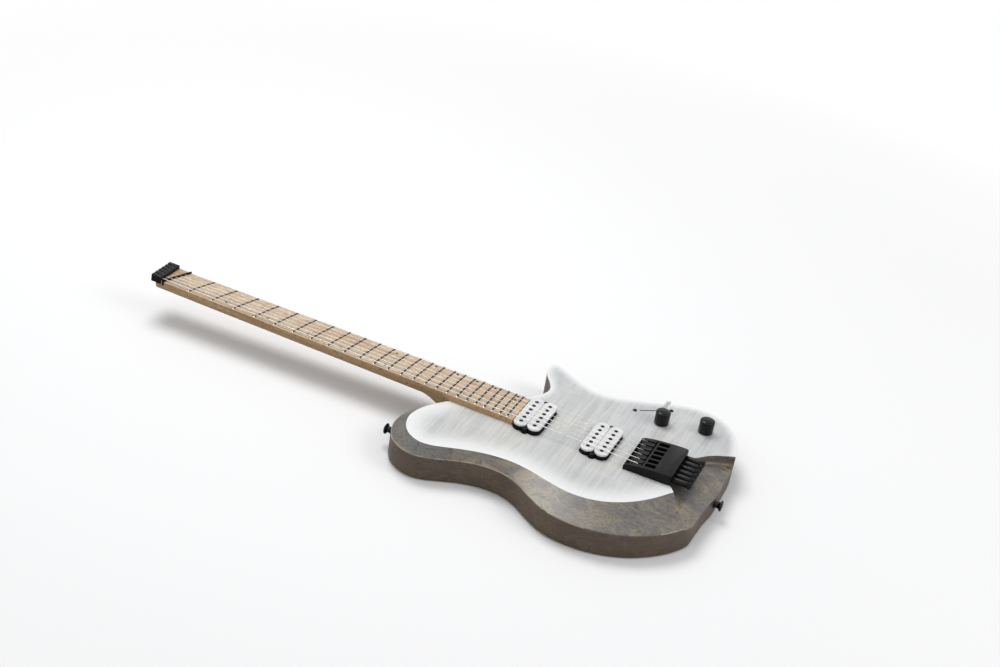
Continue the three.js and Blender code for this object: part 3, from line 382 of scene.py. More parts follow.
    def placed(self, name: str, finish: "Finish",
               stands_for: Sequence[str] = ()) -> bpy.types.Object:
        """Set the piece into the row frame with its finish, on no body yet.

        Args:
            name: The piece's name.
            finish: Its finish.
            stands_for: CAD nodes that it replaces.

        Returns:
            The object, at the origin.
        """
        made = self.seated(TO_FRAME).as_object(name)
        made.data.shade_smooth()
        made.data.materials.append(finish.material())
        if stands_for:
            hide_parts(*stands_for)
        LOG.info("%s: %d faces", name, len(made.data.polygons))
        return made

    def finished(self, name: str, finish: "Finish", body: str = GUITAR,
                 stands_for: Sequence[str] = (), crease: float = 32.0) -> bpy.types.Object:
        """Set the piece into the row frame, on the body that carries it.

        Args:
            name: The piece's name.
            finish: Its finish.
            body: The CAD body that it rides on.
            stands_for: CAD nodes that it replaces.
            crease: Angle in degrees above which an edge shades sharp.

        Returns:
            The object, at the origin.
        """
        made = self.placed(name, finish, stands_for)
        made.data.set_sharp_from_angle(angle=math.radians(crease))
        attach(made, body)
        return made


class Slot(Enum):
    """Material slots that the finishes name."""

    BURL = "burl_core"
    TOP = "maple_top"
    NECK = "neck_maple"
    BOARD = "board_maple"
    PLASTIC = "black_plastic"
    NUT = "nut_black"
    HARDWARE = "black_hardware"
    BOBBIN = "white_bobbin"
    TIP = "white_tip"
    STRING = "string_steel"
    PLATED = "plated_steel"


Socket = bpy.types.NodeSocket


class Bench:
    """Adds and joins the nodes of one tree."""

    def __init__(self, tree: bpy.types.NodeTree) -> None:
        """Work on a tree."""
        self.tree = tree

    @classmethod
    def cleared(cls, block: bpy.types.Material | bpy.types.World) -> "Bench":
        """Work on the emptied tree of a material or a world."""
        block.use_nodes = True
        block.node_tree.nodes.clear()
        return cls(block.node_tree)

    def plug(self, node: bpy.types.Node, inputs: dict) -> None:
        """Give a node's inputs, by name or number, a value or a socket each."""
        for name, value in inputs.items():
            if isinstance(value, bpy.types.NodeSocket):
                self.tree.links.new(value, node.inputs[name])
            else:
                node.inputs[name].default_value = value

    def add(self, kind: str, inputs: dict | None = None, **settings: object) -> bpy.types.Node:
        """Add a node.

        Args:
            kind: Its type, without the ShaderNode prefix.
            inputs: Values or sockets for its inputs, by name or number.
            settings: Its own properties.

        Returns:
            The node.
        """
        node = self.tree.nodes.new("ShaderNode" + kind)
        for name, value in settings.items():
            setattr(node, name, value)
        self.plug(node, inputs or {})
        return node

    def noise(self, where: Socket, scale: float, detail: float = 4.0, rough: float = 0.55,
              twist: float = 0.0) -> Socket:
        """Add a noise that reads a vector, scale in cells per metre, and return its value."""
        return self.add("TexNoise", {
            "Vector": where, "Scale": scale, "Detail": detail, "Roughness": rough,
            "Distortion": twist}).outputs["Fac"]

    def grain(self, where: Socket, scales: Point, detail: float, rough: float,
              twist: float = 0.0, turn: float = 0.0) -> Socket:
        """Add a noise with its own scale along each axis, turned round z."""
        return self.noise(self.stretched(where, scales, turn), 1.0, detail, rough, twist)

    def combined(self, how: str, a: Socket | float, b: Socket | float) -> Socket:
        """Join two values by a math node of the given kind."""
        return self.add("Math", {0: a, 1: b}, operation=how).outputs[0]

    def mark(self, name: str) -> Socket:
        """Read a mark that a mesh carries."""
        return self.add("Attribute", attribute_name=name).outputs["Fac"]

    def ramp(self, value: Socket, stops: Sequence[tuple[float, Point]]) -> Socket:
        """Turn a value into a colour.

        Args:
            value: The value's socket.
            stops: Pairs of position and linear colour.

        Returns:
            The colour's socket.
        """
        node = self.add("ValToRGB", {"Fac": value})
        elements = node.color_ramp.elements
        while len(elements) < len(stops):
            elements.new(0.5)
        for element, (position, colour) in zip(elements, stops):
            element.position, element.color = position, (*colour, 1.0)
        return node.outputs["Color"]

    def spread(self, value: Socket, low: float, high: float, to_low: float = 0.0,
               to_high: float = 1.0) -> Socket:
        """Map one range of a value onto another, clamped."""
        return self.add("MapRange", {
            "Value": value, "From Min": low, "From Max": high, "To Min": to_low,
            "To Max": to_high}).outputs["Result"]

    def mix(self, share: Socket | float, a: Socket | Point, b: Socket | Point,
            how: str = "MIX") -> Socket:
        """Mix two colours.

        Args:
            share: How much of the second one.
            a: First colour.
            b: Second colour.
            how: Blend type.

        Returns:
            The colour's socket.
        """
        ends = [colour if isinstance(colour, bpy.types.NodeSocket) else (*colour, 1.0)
                for colour in (a, b)]
        return self.add("Mix", {0: share, 6: ends[0], 7: ends[1]}, data_type="RGBA",
                        blend_type=how).outputs[2]

    def stretched(self, where: Socket, scales: Point, turn: float = 0.0) -> Socket:
        """Scale a vector and turn it round z."""
        return self.add("Mapping", {
            "Vector": where, "Scale": scales, "Rotation": (0, 0, turn)}).outputs["Vector"]


def shared_group(name: str, outputs: Sequence[tuple[str, str]],
                 build: Callable[[Bench, Socket], dict]) -> bpy.types.NodeTree:
    """Build a shader node group once and hand it out again afterwards.

    Args:
        name: The group's name.
        outputs: Pairs of an output's name and its kind.
        build: Turns the bench and the group's vector into the outputs' sockets.

    Returns:
        The group.
    """
    group = bpy.data.node_groups.get(name)
    if group:
        return group
    group = bpy.data.node_groups.new(name, "ShaderNodeTree")
    group.interface.new_socket("Vector", in_out="INPUT", socket_type="NodeSocketVector")
    for label, kind in outputs:
        group.interface.new_socket(label, in_out="OUTPUT", socket_type="NodeSocket" + kind)
    entry, end = group.nodes.new("NodeGroupInput"), group.nodes.new("NodeGroupOutput")
    for label, socket in build(Bench(group), entry.outputs["Vector"]).items():
        group.links.new(socket, end.inputs[label])
    return group


def build_fibre(bench: Bench, where: Socket) -> dict:
    """Wood fibre: long thin streaks along x, stronger in broad bands."""
    fine = bench.grain(where, (28, 900, 900), 3.0, 0.6)
    broad = bench.grain(where, (6, 110, 110), 2.0, 0.5, 0.4)
    both = bench.combined("ADD", fine, broad)
    return {"Streak": bench.combined("MULTIPLY", both, 0.5)}


def build_handling(bench: Bench, where: Socket) -> dict:
    """Traces of handling: soft smudges and fine grit.

    Args:
        bench: The group's bench.
        where: The vector that the group is given.

    Returns:
        The outputs' sockets.
    """
    smudge = bench.noise(where, 60.0, 3.0, 0.6, 0.8)
    grit = bench.noise(where, 4200.0, 2.0, 0.5)
    return {"Smudge": bench.spread(smudge, 0.35, 0.7), "Grit": grit}


def build_burl(bench: Bench, where: Socket) -> dict:
    """Grey-stained burl: soft clouds of taupe, olive gold and purple grey, with dark eyes.

    Args:
        bench: The group's bench.
        where: The vector that the group is given.

    Returns:
        The outputs' sockets.
    """
    dark, taupe = (0.05, 0.040, 0.032), (0.150, 0.125, 0.095)
    gold, mist = (0.300, 0.245, 0.150), (0.135, 0.130, 0.128)
    cloud = bench.grain(where, (17, 24, 24), 4.0, 0.62, 1.6)
    swirl = bench.grain(where, (70, 130, 130), 6.0, 0.7, 2.4)
    tint = bench.noise(where, 11.0, 2.0, 0.5, 0.8)
    speck = bench.noise(where, 620.0, 3.0, 0.7, 0.6)
    eyes = bench.add("TexVoronoi", {"Vector": where, "Scale": 150.0, "Randomness": 1.0})
    ground = bench.ramp(cloud, [(0.34, mist), (0.46, taupe), (0.56, gold), (0.70, taupe)])
    along = bench.add("SeparateXYZ", {"Vector": where}).outputs["X"]
    grey = bench.ramp(bench.spread(along, 0.0, 0.4), [
        (0.14, (0.9,) * 3), (0.36, (0.25,) * 3), (0.62, (0.25,) * 3), (0.86, (0.8,) * 3)])
    drift = bench.combined("MULTIPLY", bench.spread(tint, 0.36, 0.6, 0.3, 1.0), grey)
    misty = bench.mix(drift, ground, mist)
    veined = bench.mix(bench.spread(swirl, 0.50, 0.38, 0.0, 0.8), misty, dark)
    lit = bench.mix(bench.spread(swirl, 0.58, 0.72, 0.0, 0.65), veined, gold)
    flecked = bench.mix(bench.spread(speck, 0.48, 0.62, 0.0, 0.4), lit, dark)
    dots = bench.spread(eyes.outputs["Distance"], 0.04, 0.2, 0.6, 0.0)
    return {"Colour": bench.mix(dots, flecked, dark), "Swirl": swirl}


GROUPS = {
    "wood fibre": ((("Streak", "Float"),), build_fibre),
    "handling": ((("Smudge", "Float"), ("Grit", "Float")), build_handling),
    "burl figure": ((("Colour", "Color"), ("Swirl", "Float")), build_burl)}


@dataclass(frozen=True)
class Finish:
    """One finish, made into a material the first time it is used."""

    name: str
    slot: Slot
    roughness: float = 0.4

    def material(self) -> bpy.types.Material:
        """Make the material, or find it again.

        Returns:
            The material.
        """
        made = bpy.data.materials.get(self.name)
        if made:
            return made
        made = bpy.data.materials.new(self.name)
        bench = Bench.cleared(made)
        shader = bench.add("BsdfPrincipled", {"Roughness": self.roughness})
        bench.add("OutputMaterial", {"Surface": shader.outputs["BSDF"]}, is_active_output=True)
        self.dress(bench, shader, bench.add("TexCoord").outputs["Object"])
        return made

    def dress(self, bench: Bench, shader: bpy.types.Node, where: Socket) -> None:
        """Give the shader its colour and surface; each kind of finish has its own."""

    def group(self, bench: Bench, name: str, where: Socket) -> bpy.types.Node:
        """Place a shared group that reads the given vector."""
        return bench.add("Group", {"Vector": where}, node_tree=shared_group(name, *GROUPS[name]))

    def bump(self, bench: Bench, shader: bpy.types.Node, height: Socket, depth_mm: float,
             strength: float = 0.5) -> None:
        """Raise the surface by a height map of the given full depth."""
        node = bench.add("Bump", {
            "Height": height, "Distance": depth_mm * MM, "Strength": strength})
        bench.plug(shader, {"Normal": node.outputs["Normal"]})


@dataclass(frozen=True)
class Coated(Finish):
    """Black or white plastic, painted metal or plated steel: one colour with life in its gloss."""

    colour: Point = (0.02, 0.02, 0.02)
    metallic: float = 0.0
    grit_mm: float = 0.004
    smudge: float = 0.12
    ior: float = 1.45

    def dress(self, bench: Bench, shader: bpy.types.Node, where: Socket) -> None:
        """See Finish.dress."""
        marks = self.group(bench, "handling", where)
        paler = tuple(min(1.0, c * 1.2 + 0.002) for c in self.colour)
        colour = bench.mix(marks.outputs["Smudge"], self.colour, paler)
        gloss = bench.spread(marks.outputs["Smudge"], 0.0, 1.0, self.roughness - self.smudge / 2,
                             self.roughness + self.smudge)
        bench.plug(shader, {"Base Color": colour, "Roughness": gloss, "Metallic": self.metallic,
                            "IOR": self.ior})
        self.bump(bench, shader, marks.outputs["Grit"], self.grit_mm)


@dataclass(frozen=True)
class Lacquered(Finish):
    """Wood under satin lacquer."""

    coat: float = 0.25
    coat_roughness: float = 0.28

    def lacquer(self, bench: Bench, shader: bpy.types.Node, colour: Socket) -> None:
        """Give the shader its wood's colour and lay the lacquer over it."""
        bench.plug(shader, {"Base Color": colour, "Coat Weight": self.coat,
                            "Coat Roughness": self.coat_roughness})


@dataclass(frozen=True)
class Flamed(Lacquered):
    """Flamed maple under a thin white stain, with burl below its face; the whiter rim is partly
    stain and partly painted sheen.
    """

    cloud: Point = (0.495, 0.51, 0.513)
    stain: Point = (0.58, 0.59, 0.59)
    warm: Point = (0.61, 0.595, 0.557)
    flame: Point = (0.41, 0.42, 0.42)
    # Rim colour: partly the white stain, partly painted sheen along the edge.
    rim: Point = (0.87, 0.88, 0.875)
    face: tuple = (BODY_TOP - 0.75, BODY_TOP - 0.35)

    def dress(self, bench: Bench, shader: bpy.types.Node, where: Socket) -> None:
        """See Finish.dress."""
        drift = bench.noise(where, 11.0, 3.0, 0.5, 0.6)
        flame = bench.grain(where, (150, 9, 40), 4.0, 0.62, 0.7, turn=0.10)
        streak = bench.grain(where, (640, 26, 60), 2.0, 0.55, 0.4, turn=0.07)
        fibre = self.group(bench, "wood fibre", where).outputs["Streak"]
        ground = bench.ramp(drift, [(0.34, self.cloud), (0.52, self.stain), (0.70, self.warm)])
        flamed = bench.mix(bench.spread(flame, 0.46, 0.66, 0.0, 0.7), ground, self.flame)
        lined = bench.mix(bench.spread(streak, 0.50, 0.68, 0.0, 0.5), flamed, self.flame)
        fine = bench.mix(bench.spread(fibre, 0.40, 0.60, 0.0, 0.12), lined, self.rim)
        # Whiter towards the rim: partly white stain, partly painted sheen.
        white = bench.mix(bench.spread(bench.mark("rim"), 0.0, 1.0, 0.0, 0.92), fine, self.rim)
        height = bench.add("SeparateXYZ", {"Vector": where}).outputs["Z"]
        face = bench.combined(
            "MULTIPLY", bench.spread(height, self.face[0] * MM, self.face[1] * MM),
            bench.spread(bench.mark("bevel"), 0.0, 1.0, 1.0, 0.0))
        sides = self.group(bench, "burl figure", where).outputs["Colour"]
        self.lacquer(bench, shader, bench.mix(face, sides, white))
        self.bump(bench, shader, streak, 0.01, 0.3)


@dataclass(frozen=True)
class Burl(Lacquered):
    """Grey-stained burl on bevel and scoop; darker on the side with painted shade, and paler along
    its lower edge with a painted highlight and some wear.
    """

    # Side tone: unstained wood darkened with painted shade. Edge tone: a painted highlight with
    # some wear.
    bare_in_shade: Point = (0.115, 0.062, 0.032)
    edge_highlight: Point = (0.44, 0.36, 0.26)

    def dress(self, bench: Bench, shader: bpy.types.Node, where: Socket) -> None:
        """See Finish.dress."""
        figure = self.group(bench, "burl figure", where)
        # On the side the figure is darkened: painted shade over the unstained wood. Along the
        # lower edge it is lightened: a painted highlight, with some wear.
        shaded_side_tone = bench.mix(bench.spread(figure.outputs["Swirl"], 0.35, 0.65, 0.25, 0.85),
                          figure.outputs["Colour"], self.bare_in_shade)
        shaded_sides = bench.mix(bench.mark("wall"), figure.outputs["Colour"], shaded_side_tone)
        patches = bench.spread(bench.noise(where, 45.0, 3.0), 0.36, 0.62, 0.25, 0.9)
        highlight_share = bench.combined("MULTIPLY", bench.mark("edge"), patches)
        self.lacquer(bench, shader, bench.mix(highlight_share, shaded_sides, self.edge_highlight))
        self.bump(bench, shader, figure.outputs["Swirl"], 0.02, 0.3)


@dataclass(frozen=True)
class Birdseye(Finish):
    """Birdseye maple: soft fibre along the neck and small round eyes; the board's sides are darker
    and warmer, partly painted shade.
    """

    pale: Point = (0.80, 0.675, 0.485)
    deep: Point = (0.48, 0.325, 0.22)
    eye: Point = (0.20, 0.11, 0.06)
    # Multiplies the board's sides: a warmer tone and painted shade.
    side: Point = (0.95, 0.80, 0.61)
    ior: float = 1.3

    def dress(self, bench: Bench, shader: bpy.types.Node, where: Socket) -> None:
        """See Finish.dress."""
        fibre = self.group(bench, "wood fibre", where)
        blush = bench.grain(where, (95, 140, 140), 5.0, 0.7, 1.6)
        eyes = bench.add("TexVoronoi", {
            "Vector": bench.stretched(where, (130, 190, 190)), "Scale": 1.0, "Randomness": 1.0})
        ground = bench.mix(bench.spread(fibre.outputs["Streak"], 0.36, 0.62), self.deep, self.pale)
        blotched = bench.mix(bench.spread(blush, 0.42, 0.64, 0.0, 0.75), ground, self.deep)
        spots = bench.spread(eyes.outputs["Distance"], 0.04, 0.3, 0.85, 0.0)
        chosen = bench.spread(bench.noise(where, 90.0, 1.0), 0.42, 0.52)
        whole = bench.mix(bench.combined("MULTIPLY", spots, chosen), blotched, self.eye)
        # The board's sides: a warmer tone with painted shade.
        shaded_sides = bench.mix(bench.mark("wall"), whole, self.side, "MULTIPLY")
        bench.plug(shader, {"Base Color": shaded_sides, "IOR": self.ior})
        self.bump(bench, shader, fibre.outputs["Streak"], 0.015, 0.35)


@dataclass(frozen=True)
class Wound(Finish):
    """Bright string steel, plain or with a wrap's fine ridges."""

    pitch_mm: float = 0.0
    colour: Point = (0.62, 0.62, 0.61)

    def dress(self, bench: Bench, shader: bpy.types.Node, where: Socket) -> None:
        """See Finish.dress."""
        marks = self.group(bench, "handling", where)
        dull = bench.mix(marks.outputs["Smudge"], self.colour, tuple(c * 0.8 for c in self.colour))
        bench.plug(shader, {"Base Color": dull, "Metallic": 1.0})
        if self.pitch_mm:
            ridges = bench.add("TexWave", {
                "Vector": where, "Scale": 0.314 / (self.pitch_mm * MM), "Distortion": 0.0},
                wave_type="BANDS", bands_direction="X")
            self.bump(bench, shader, ridges.outputs["Fac"], self.pitch_mm / 4, 0.3)


TOP = Flamed("flamed_top", Slot.TOP, roughness=0.38)
BURL = Burl("burl", Slot.BURL, roughness=0.38)
# The neck's tones are darker and more orange than the board's: partly its wood, partly painted
# shade on sides that turn from the lamps.
NECK_MAPLE = Birdseye("birdseye_neck", Slot.NECK, roughness=0.42, pale=(0.66, 0.47, 0.275),
                      deep=(0.43, 0.265, 0.135), eye=(0.19, 0.09, 0.04))
BOARD_MAPLE = Birdseye("birdseye_board", Slot.BOARD, roughness=0.46)
# Fret wire painted nearly black: a painted dark reflection in place of bright nickel.
FRET_PAINTED_DARK = Coated("fret_steel_painted_dark", Slot.BOARD, roughness=0.28, colour=(0.06, 0.06, 0.062),
                    metallic=1.0, grit_mm=0.001, smudge=0.05)
FRET_BEAD = Coated("fret_bead", Slot.BOARD, roughness=0.2, colour=(0.80, 0.79, 0.77),
                   metallic=1.0, grit_mm=0.001, smudge=0.05)
INLAY_BLACK = Coated("inlay_black", Slot.BOARD, roughness=0.45, colour=(0.010, 0.009, 0.008))
INLAY_PALE = Coated("inlay_pale", Slot.BOARD, roughness=0.45, colour=(0.55, 0.48, 0.36))
NUT_BLACK = Coated("nut_finish", Slot.NUT, colour=(0.006, 0.006, 0.006), ior=1.2)
HARDWARE = Coated("satin_black", Slot.HARDWARE, roughness=0.28, colour=(0.006, 0.006, 0.007),
                  smudge=0.08, ior=1.25)
GLOSS_BLACK = Coated("gloss_black", Slot.HARDWARE, roughness=0.08, colour=(0.004, 0.004, 0.005),
                     grit_mm=0.001, smudge=0.02, ior=1.3)
PLASTIC = Coated("matt_plastic", Slot.PLASTIC, roughness=0.5, colour=(0.006, 0.006, 0.006),
                 ior=1.2)
BOBBIN_WHITE = Coated("bobbin_white", Slot.BOBBIN, roughness=0.36, colour=(0.69, 0.69, 0.685),
                      grit_mm=0.003, smudge=0.06)
POLE_BLACK = Coated("pole_black", Slot.BOBBIN, roughness=0.32, colour=(0.006, 0.006, 0.007),
                    grit_mm=0.002, ior=1.3)
TIP_WHITE = Coated("tip_white", Slot.TIP, roughness=0.32, colour=(0.93, 0.93, 0.91),
                   grit_mm=0.002, smudge=0.06)
PLATED = Coated("bright_plating", Slot.PLATED, roughness=0.3, colour=(0.45, 0.45, 0.46),
                metallic=1.0, grit_mm=0.002)
PLAIN_STRING = Wound("plain_string", Slot.STRING, roughness=0.34)
WOUND_STRING = Wound("wound_string", Slot.STRING, roughness=0.42, pitch_mm=0.34)


def loop_through(shares: Sequence[Point], samples: int) -> list[Vector]:
    """Run a closed centripetal curve through an outline given in shares of the body's size.

    Args:
        shares: Triples of length share, width share and one more value.
        samples: How many points to return.

    Returns:
        Points of the curve in the drawing, with the third value in z.
    """
    base = [
        Vector((Body.front_x + s[0] * Body.length, s[1] * Body.width, s[2] if len(s) > 2 else 0))
        for s in shares]
    count, points = len(base), []
    for k in range(samples):
        whole = k / samples * count
        at, t = int(whole), whole - int(whole)
        p = [base[(at + step) % count] for step in (-1, 0, 1, 2)]
        gap = [max((b - a).length_squared ** 0.25, 1e-4) for a, b in zip(p, p[1:])]
        lead = gap[1] * (
            (p[1] - p[0]) / gap[0] - (p[2] - p[0]) / (gap[0] + gap[1]) + (p[2] - p[1]) / gap[1])
        tail = gap[1] * (
            (p[2] - p[1]) / gap[1] - (p[3] - p[1]) / (gap[1] + gap[2]) + (p[3] - p[2]) / gap[2])
        square = -3 * p[1] + 3 * p[2] - 2 * lead - tail
        cube = 2 * p[1] - 2 * p[2] + lead + tail
        points.append(p[1] + lead * t + square * t * t + cube * t ** 3)
    return points


def outward(loop: Sequence[Vector], i: int) -> Vector:
    """Return the flat unit vector that points out of a counter-clockwise loop at a point."""
    step = loop[(i + 1) % len(loop)] - loop[i - 1]
    return Vector((step.y, -step.x, 0)).normalized()


def grown(loop: Sequence[Vector], distance: float) -> list[Vector]:
    """Move every point of a loop outwards by a distance."""
    return [p + outward(loop, i) * distance for i, p in enumerate(loop)]


def arc(centre: Point, radius: float, start: float, end: float, count: int) -> list[tuple]:
    """Return points of an arc in the plane, angles in degrees."""
    return [(
        centre[0] + radius * math.cos(math.radians(a)),
        centre[1] + radius * math.sin(math.radians(a))) for a in spaced(start, end, count)]


def stadium(half_length: float, radius: float, count: int = 15) -> list[tuple]:
    """Return an outline with round ends that lies along y."""
    return (arc((0, half_length), radius, 0, 180, count)
            + arc((0, -half_length), radius, 180, 360, count))


def rod(radius: float, start: float, end: float, matrix: Matrix, steps: int = 32,
        edge: float = 0.0) -> Blank:
    """Turn a round bar that is placed by a matrix, with a chamfer at both ends."""
    profile = [(0, start), (radius - edge, start), (radius, start + edge),
               (radius, end - edge), (radius - edge, end), (0, end)]
    return Blank.turned(profile, steps).seated(matrix)


def slot_prism(start: Point, end: Point, radius: float, low: float, high: float) -> Blank:
    """Raise a slot with round ends that runs from one point to another.

    Args:
        start: Centre of its first end.
        end: Centre of its last end.
        radius: Half of its width.
        low: Lower height.
        high: Upper height.

    Returns:
        The prism.
    """
    turn = math.degrees(math.atan2(end[1] - start[1], end[0] - start[0]))
    ends = ((end, turn - 90), (start, turn + 90))
    rim = [p for centre, angle in ends for p in arc(centre, radius, angle, angle + 180, 15)]
    return Blank.prism(rim, low, high)


def cross_tools(half_length: float, half_width: float, low: float, high: float) -> list[Blank]:
    """Shape the two cutters of the cross in a screw's head."""
    return [Blank.block((-a, -b, low), (a, b, high))
            for a, b in ((half_length, half_width), (half_width, half_length))]


def fluted(levels: Sequence[Point], flutes: int, points: int) -> Blank:
    """Loft a round bar whose skin has flutes lengthwise.

    Args:
        levels: Height, radius and depth of the flutes at each ring.
        flutes: How many flutes.
        points: Points of each ring.

    Returns:
        The bar.
    """
    rings = []
    for z, radius, depth in levels:
        ring = []
        for k in range(points):
            a = math.tau * k / points
            reach = radius - depth * (1 - abs(math.cos(flutes * a / 2)))
            ring.append((reach * math.cos(a), reach * math.sin(a), z))
        rings.append(ring)
    return Blank.lofted(rings)


@dataclass
class Body:
    """Body: a burl core, bevelled along the bass side, under a flamed cap."""

    front_x = 367.0
    length = 388.0
    width = 310.0
    cap: float = 3.0
    edge_round: float = 0.9
    back_round: float = 5.0
    edge_radius: float = 1.8
    bevel_width: float = 52.0
    bevel_depth: float = 10.5
    full_share: float = 0.14
    samples: int = 336
    scoop_depths: tuple = (8.0, 14.0)
    cove: float = 5.0
    neck_play: tuple = (0.02, 0.05)
    pickup_play: float = 0.8
    pocket_depth: float = 14.0
    grid: float = 7.0
    # Reach of the rim's painted sheen, and the faces that take the edge's painted highlight and
    # the wall's painted shade.
    rim_sheen_reach: tuple = (13.0, 36.0)
    highlight_reach: float = 1.6
    highlight_leans: tuple = (0.2, 0.97)
    wall_lean: float = 0.9
    bevel_leans: tuple = (0.1, 0.995)
    least_share: float = 0.02
    outline: tuple = (
        (0.102, -0.092), (0.066, -0.161, 0.16), (0.045, -0.223, 0.27), (0.040, -0.277, 0.3),
        (0.050, -0.329, 0.33), (0.071, -0.373, 0.35), (0.101, -0.402, 0.33), (0.133, -0.414, 0.3),
        (0.165, -0.410, 0.26), (0.206, -0.391, 0.23), (0.255, -0.365, 0.21),
        (0.309, -0.342, 0.22), (0.369, -0.327, 0.26), (0.420, -0.325, 0.32),
        (0.477, -0.337, 0.42), (0.539, -0.359, 0.58), (0.601, -0.377, 0.73), (0.657, -0.378, 0.8),
        (0.714, -0.360, 0.88), (0.770, -0.320, 0.96), (0.820, -0.263, 1), (0.855, -0.206, 1),
        (0.884, -0.148, 0.92), (0.924, -0.077, 0.6), (0.968, 0.006, 0.26), (0.990, 0.094, 0.08),
        (0.999, 0.177), (0.996, 0.245), (0.987, 0.297), (0.968, 0.365), (0.938, 0.424),
        (0.892, 0.469), (0.832, 0.490), (0.776, 0.480), (0.716, 0.450), (0.655, 0.411),
        (0.593, 0.377), (0.539, 0.352), (0.492, 0.346), (0.454, 0.355), (0.399, 0.387),
        (0.351, 0.421), (0.323, 0.440), (0.307, 0.444), (0.295, 0.427), (0.294, 0.392),
        (0.304, 0.347), (0.326, 0.305), (0.344, 0.265), (0.348, 0.229), (0.336, 0.187),
        (0.314, 0.144), (0.289, 0.113), (0.260, 0.092), (0.206, 0.039), (0.147, -0.032))
    scoop: tuple = (
        (0.851, 0), (0.851, -0.068), (0.858, -0.102), (0.872, -0.114), (0.886, -0.136),
        (0.923, -0.21), (0.962, -0.29), (1.03, -0.37), (1.12, -0.25), (1.14, 0), (1.1, 0.2),
        (1.04, 0.25), (0.994, 0.24), (0.965, 0.22), (0.941, 0.202), (0.919, 0.18),
        (0.902, 0.155), (0.888, 0.135), (0.869, 0.124), (0.857, 0.098), (0.852, 0.055))

    def __post_init__(self) -> None:
        """Lay out the top's edge, the bevel and the outer wall."""
        loop = loop_through(self.outline, self.samples)
        self.shares = [max(p.z, 0.0) for p in loop]
        self.fall = [self.bevel_depth * clamped(s / self.full_share) for s in self.shares]
        self.depth = [max(fall, self.cap + self.back_round / 2) for fall in self.fall]
        self.top_loop = [Vector((p.x, p.y, 0)) for p in loop]
        self.wall = [p + outward(self.top_loop, i) * self.shares[i] * self.bevel_width
                     for i, p in enumerate(self.top_loop)]

    @classmethod
    def at(cls, length_share: float, width_share: float) -> tuple[float, float]:
        """Return the place at a share of the body's length and a share of its width."""
        return cls.front_x + length_share * cls.length, width_share * cls.width

    def side(self, depths: Sequence[float]) -> list[Vector]:
        """Return the ring where the side passes a depth below the top at each point."""
        ring = []
        for i, (p, depth) in enumerate(zip(self.top_loop, depths)):
            share = depth / self.fall[i] if self.fall[i] > depth else 1.0
            reach = self.shares[i] * self.bevel_width * share
            ring.append(p + outward(self.top_loop, i) * reach + Vector((0, 0, BODY_TOP - depth)))
        return ring

    def flank(self, share: float) -> list[Vector]:
        """Return a ring between the cap's lower edge, share 0, and the foot of the bevel, 1."""
        return self.side([lerp(self.cap, depth, share) for depth in self.depth])

    def level(self, depth: float) -> list[Vector]:
        """Return the side's ring at one depth."""
        return self.side([depth] * self.samples)

    def shoulder(self, share: float) -> list[Vector]:
        """Return a ring of the round edge between bevel and wall, share 0 to 1."""
        ring = []
        for i, p in enumerate(self.wall):
            soft = self.edge_radius * clamped(2 * self.shares[i] / self.full_share - 1)
            lean = math.atan2(self.fall[i], max(self.shares[i] * self.bevel_width, 0.001))
            turn = lerp(lean, math.pi / 2, share)
            drop = soft * ((1 - math.sin(lean)) / math.cos(lean) - math.cos(turn)) if soft else 0.0
            ring.append(p - outward(self.wall, i) * soft * (1 - math.sin(turn))
                        + Vector((0, 0, BODY_TOP - self.depth[i] - drop)))
        return ring

    def scoop_tool(self) -> Blank:
        """Shape the cutter of the finger scoop: a coved pocket that runs out at the tail.

        Returns:
            The cutter.
        """
        edge = [Vector((p.x, p.y, 0)) for p in loop_through(self.scoop, 8 * len(self.scoop))]
        front, tail = self.at(self.scoop[0][0], 0)[0], self.at(1, 0)[0]
        rings = []
        for turn in spaced(math.pi / 2, 0, 7):
            rise = self.cove * (1 - math.sin(turn))
            rings.append([
                p + Vector((0, 0, BODY_TOP + rise - lerp(
                    *self.scoop_depths, (p.x - front) / (tail - front))))
                for p in grown(edge, -self.cove * (1 - math.cos(turn)))])
        rings.append([p + Vector((0, 0, BODY_TOP + 1)) for p in edge])
        return Blank.lofted(rings)

    def top_tools(self) -> list[Blank]:
        """Shape the cutters that go through the cap: scoop, neck, pickups and switch."""
        side, end = self.neck_play
        pocket = Neck().bar(side, Neck.end_x - 100, BOARD_END + end, 1.0).seated(NECK_FRAME)
        floor = BODY_TOP - self.pocket_depth
        pickups = [Pickup(*row).outline_blank(self.pickup_play, floor, BODY_TOP + 1)
                   for row in PICKUPS]
        return [self.scoop_tool(), pocket, *pickups, Switch().slot_tool()]

    def build(self) -> None:
        """Build the core and the cap."""
        self.core_piece()
        self.cap_piece()

    def core_piece(self) -> None:
        """Build the core: rounded back, side wall, bevel, and the rooms cut into it."""
        rings = []
        for turn in spaced(0, math.pi / 2, 7):
            lift = self.back_round * (1 - math.cos(turn))
            inset = self.back_round * (1 - math.sin(turn))
            rings.append([p + Vector((0, 0, lift)) for p in grown(self.wall, -inset)])
        rings += [self.shoulder(share) for share in spaced(1, 0, 5)]
        rings += [self.flank(share) for share in (0.9, 0.6, 0.3, 0.02, 0.0)]
        core = Blank.lofted(rings).cut(*self.top_tools(), *Controls().rooms(), *Jack.tools())
        self.mark_side(core.finished("core", BURL, stands_for=["body_core"]))

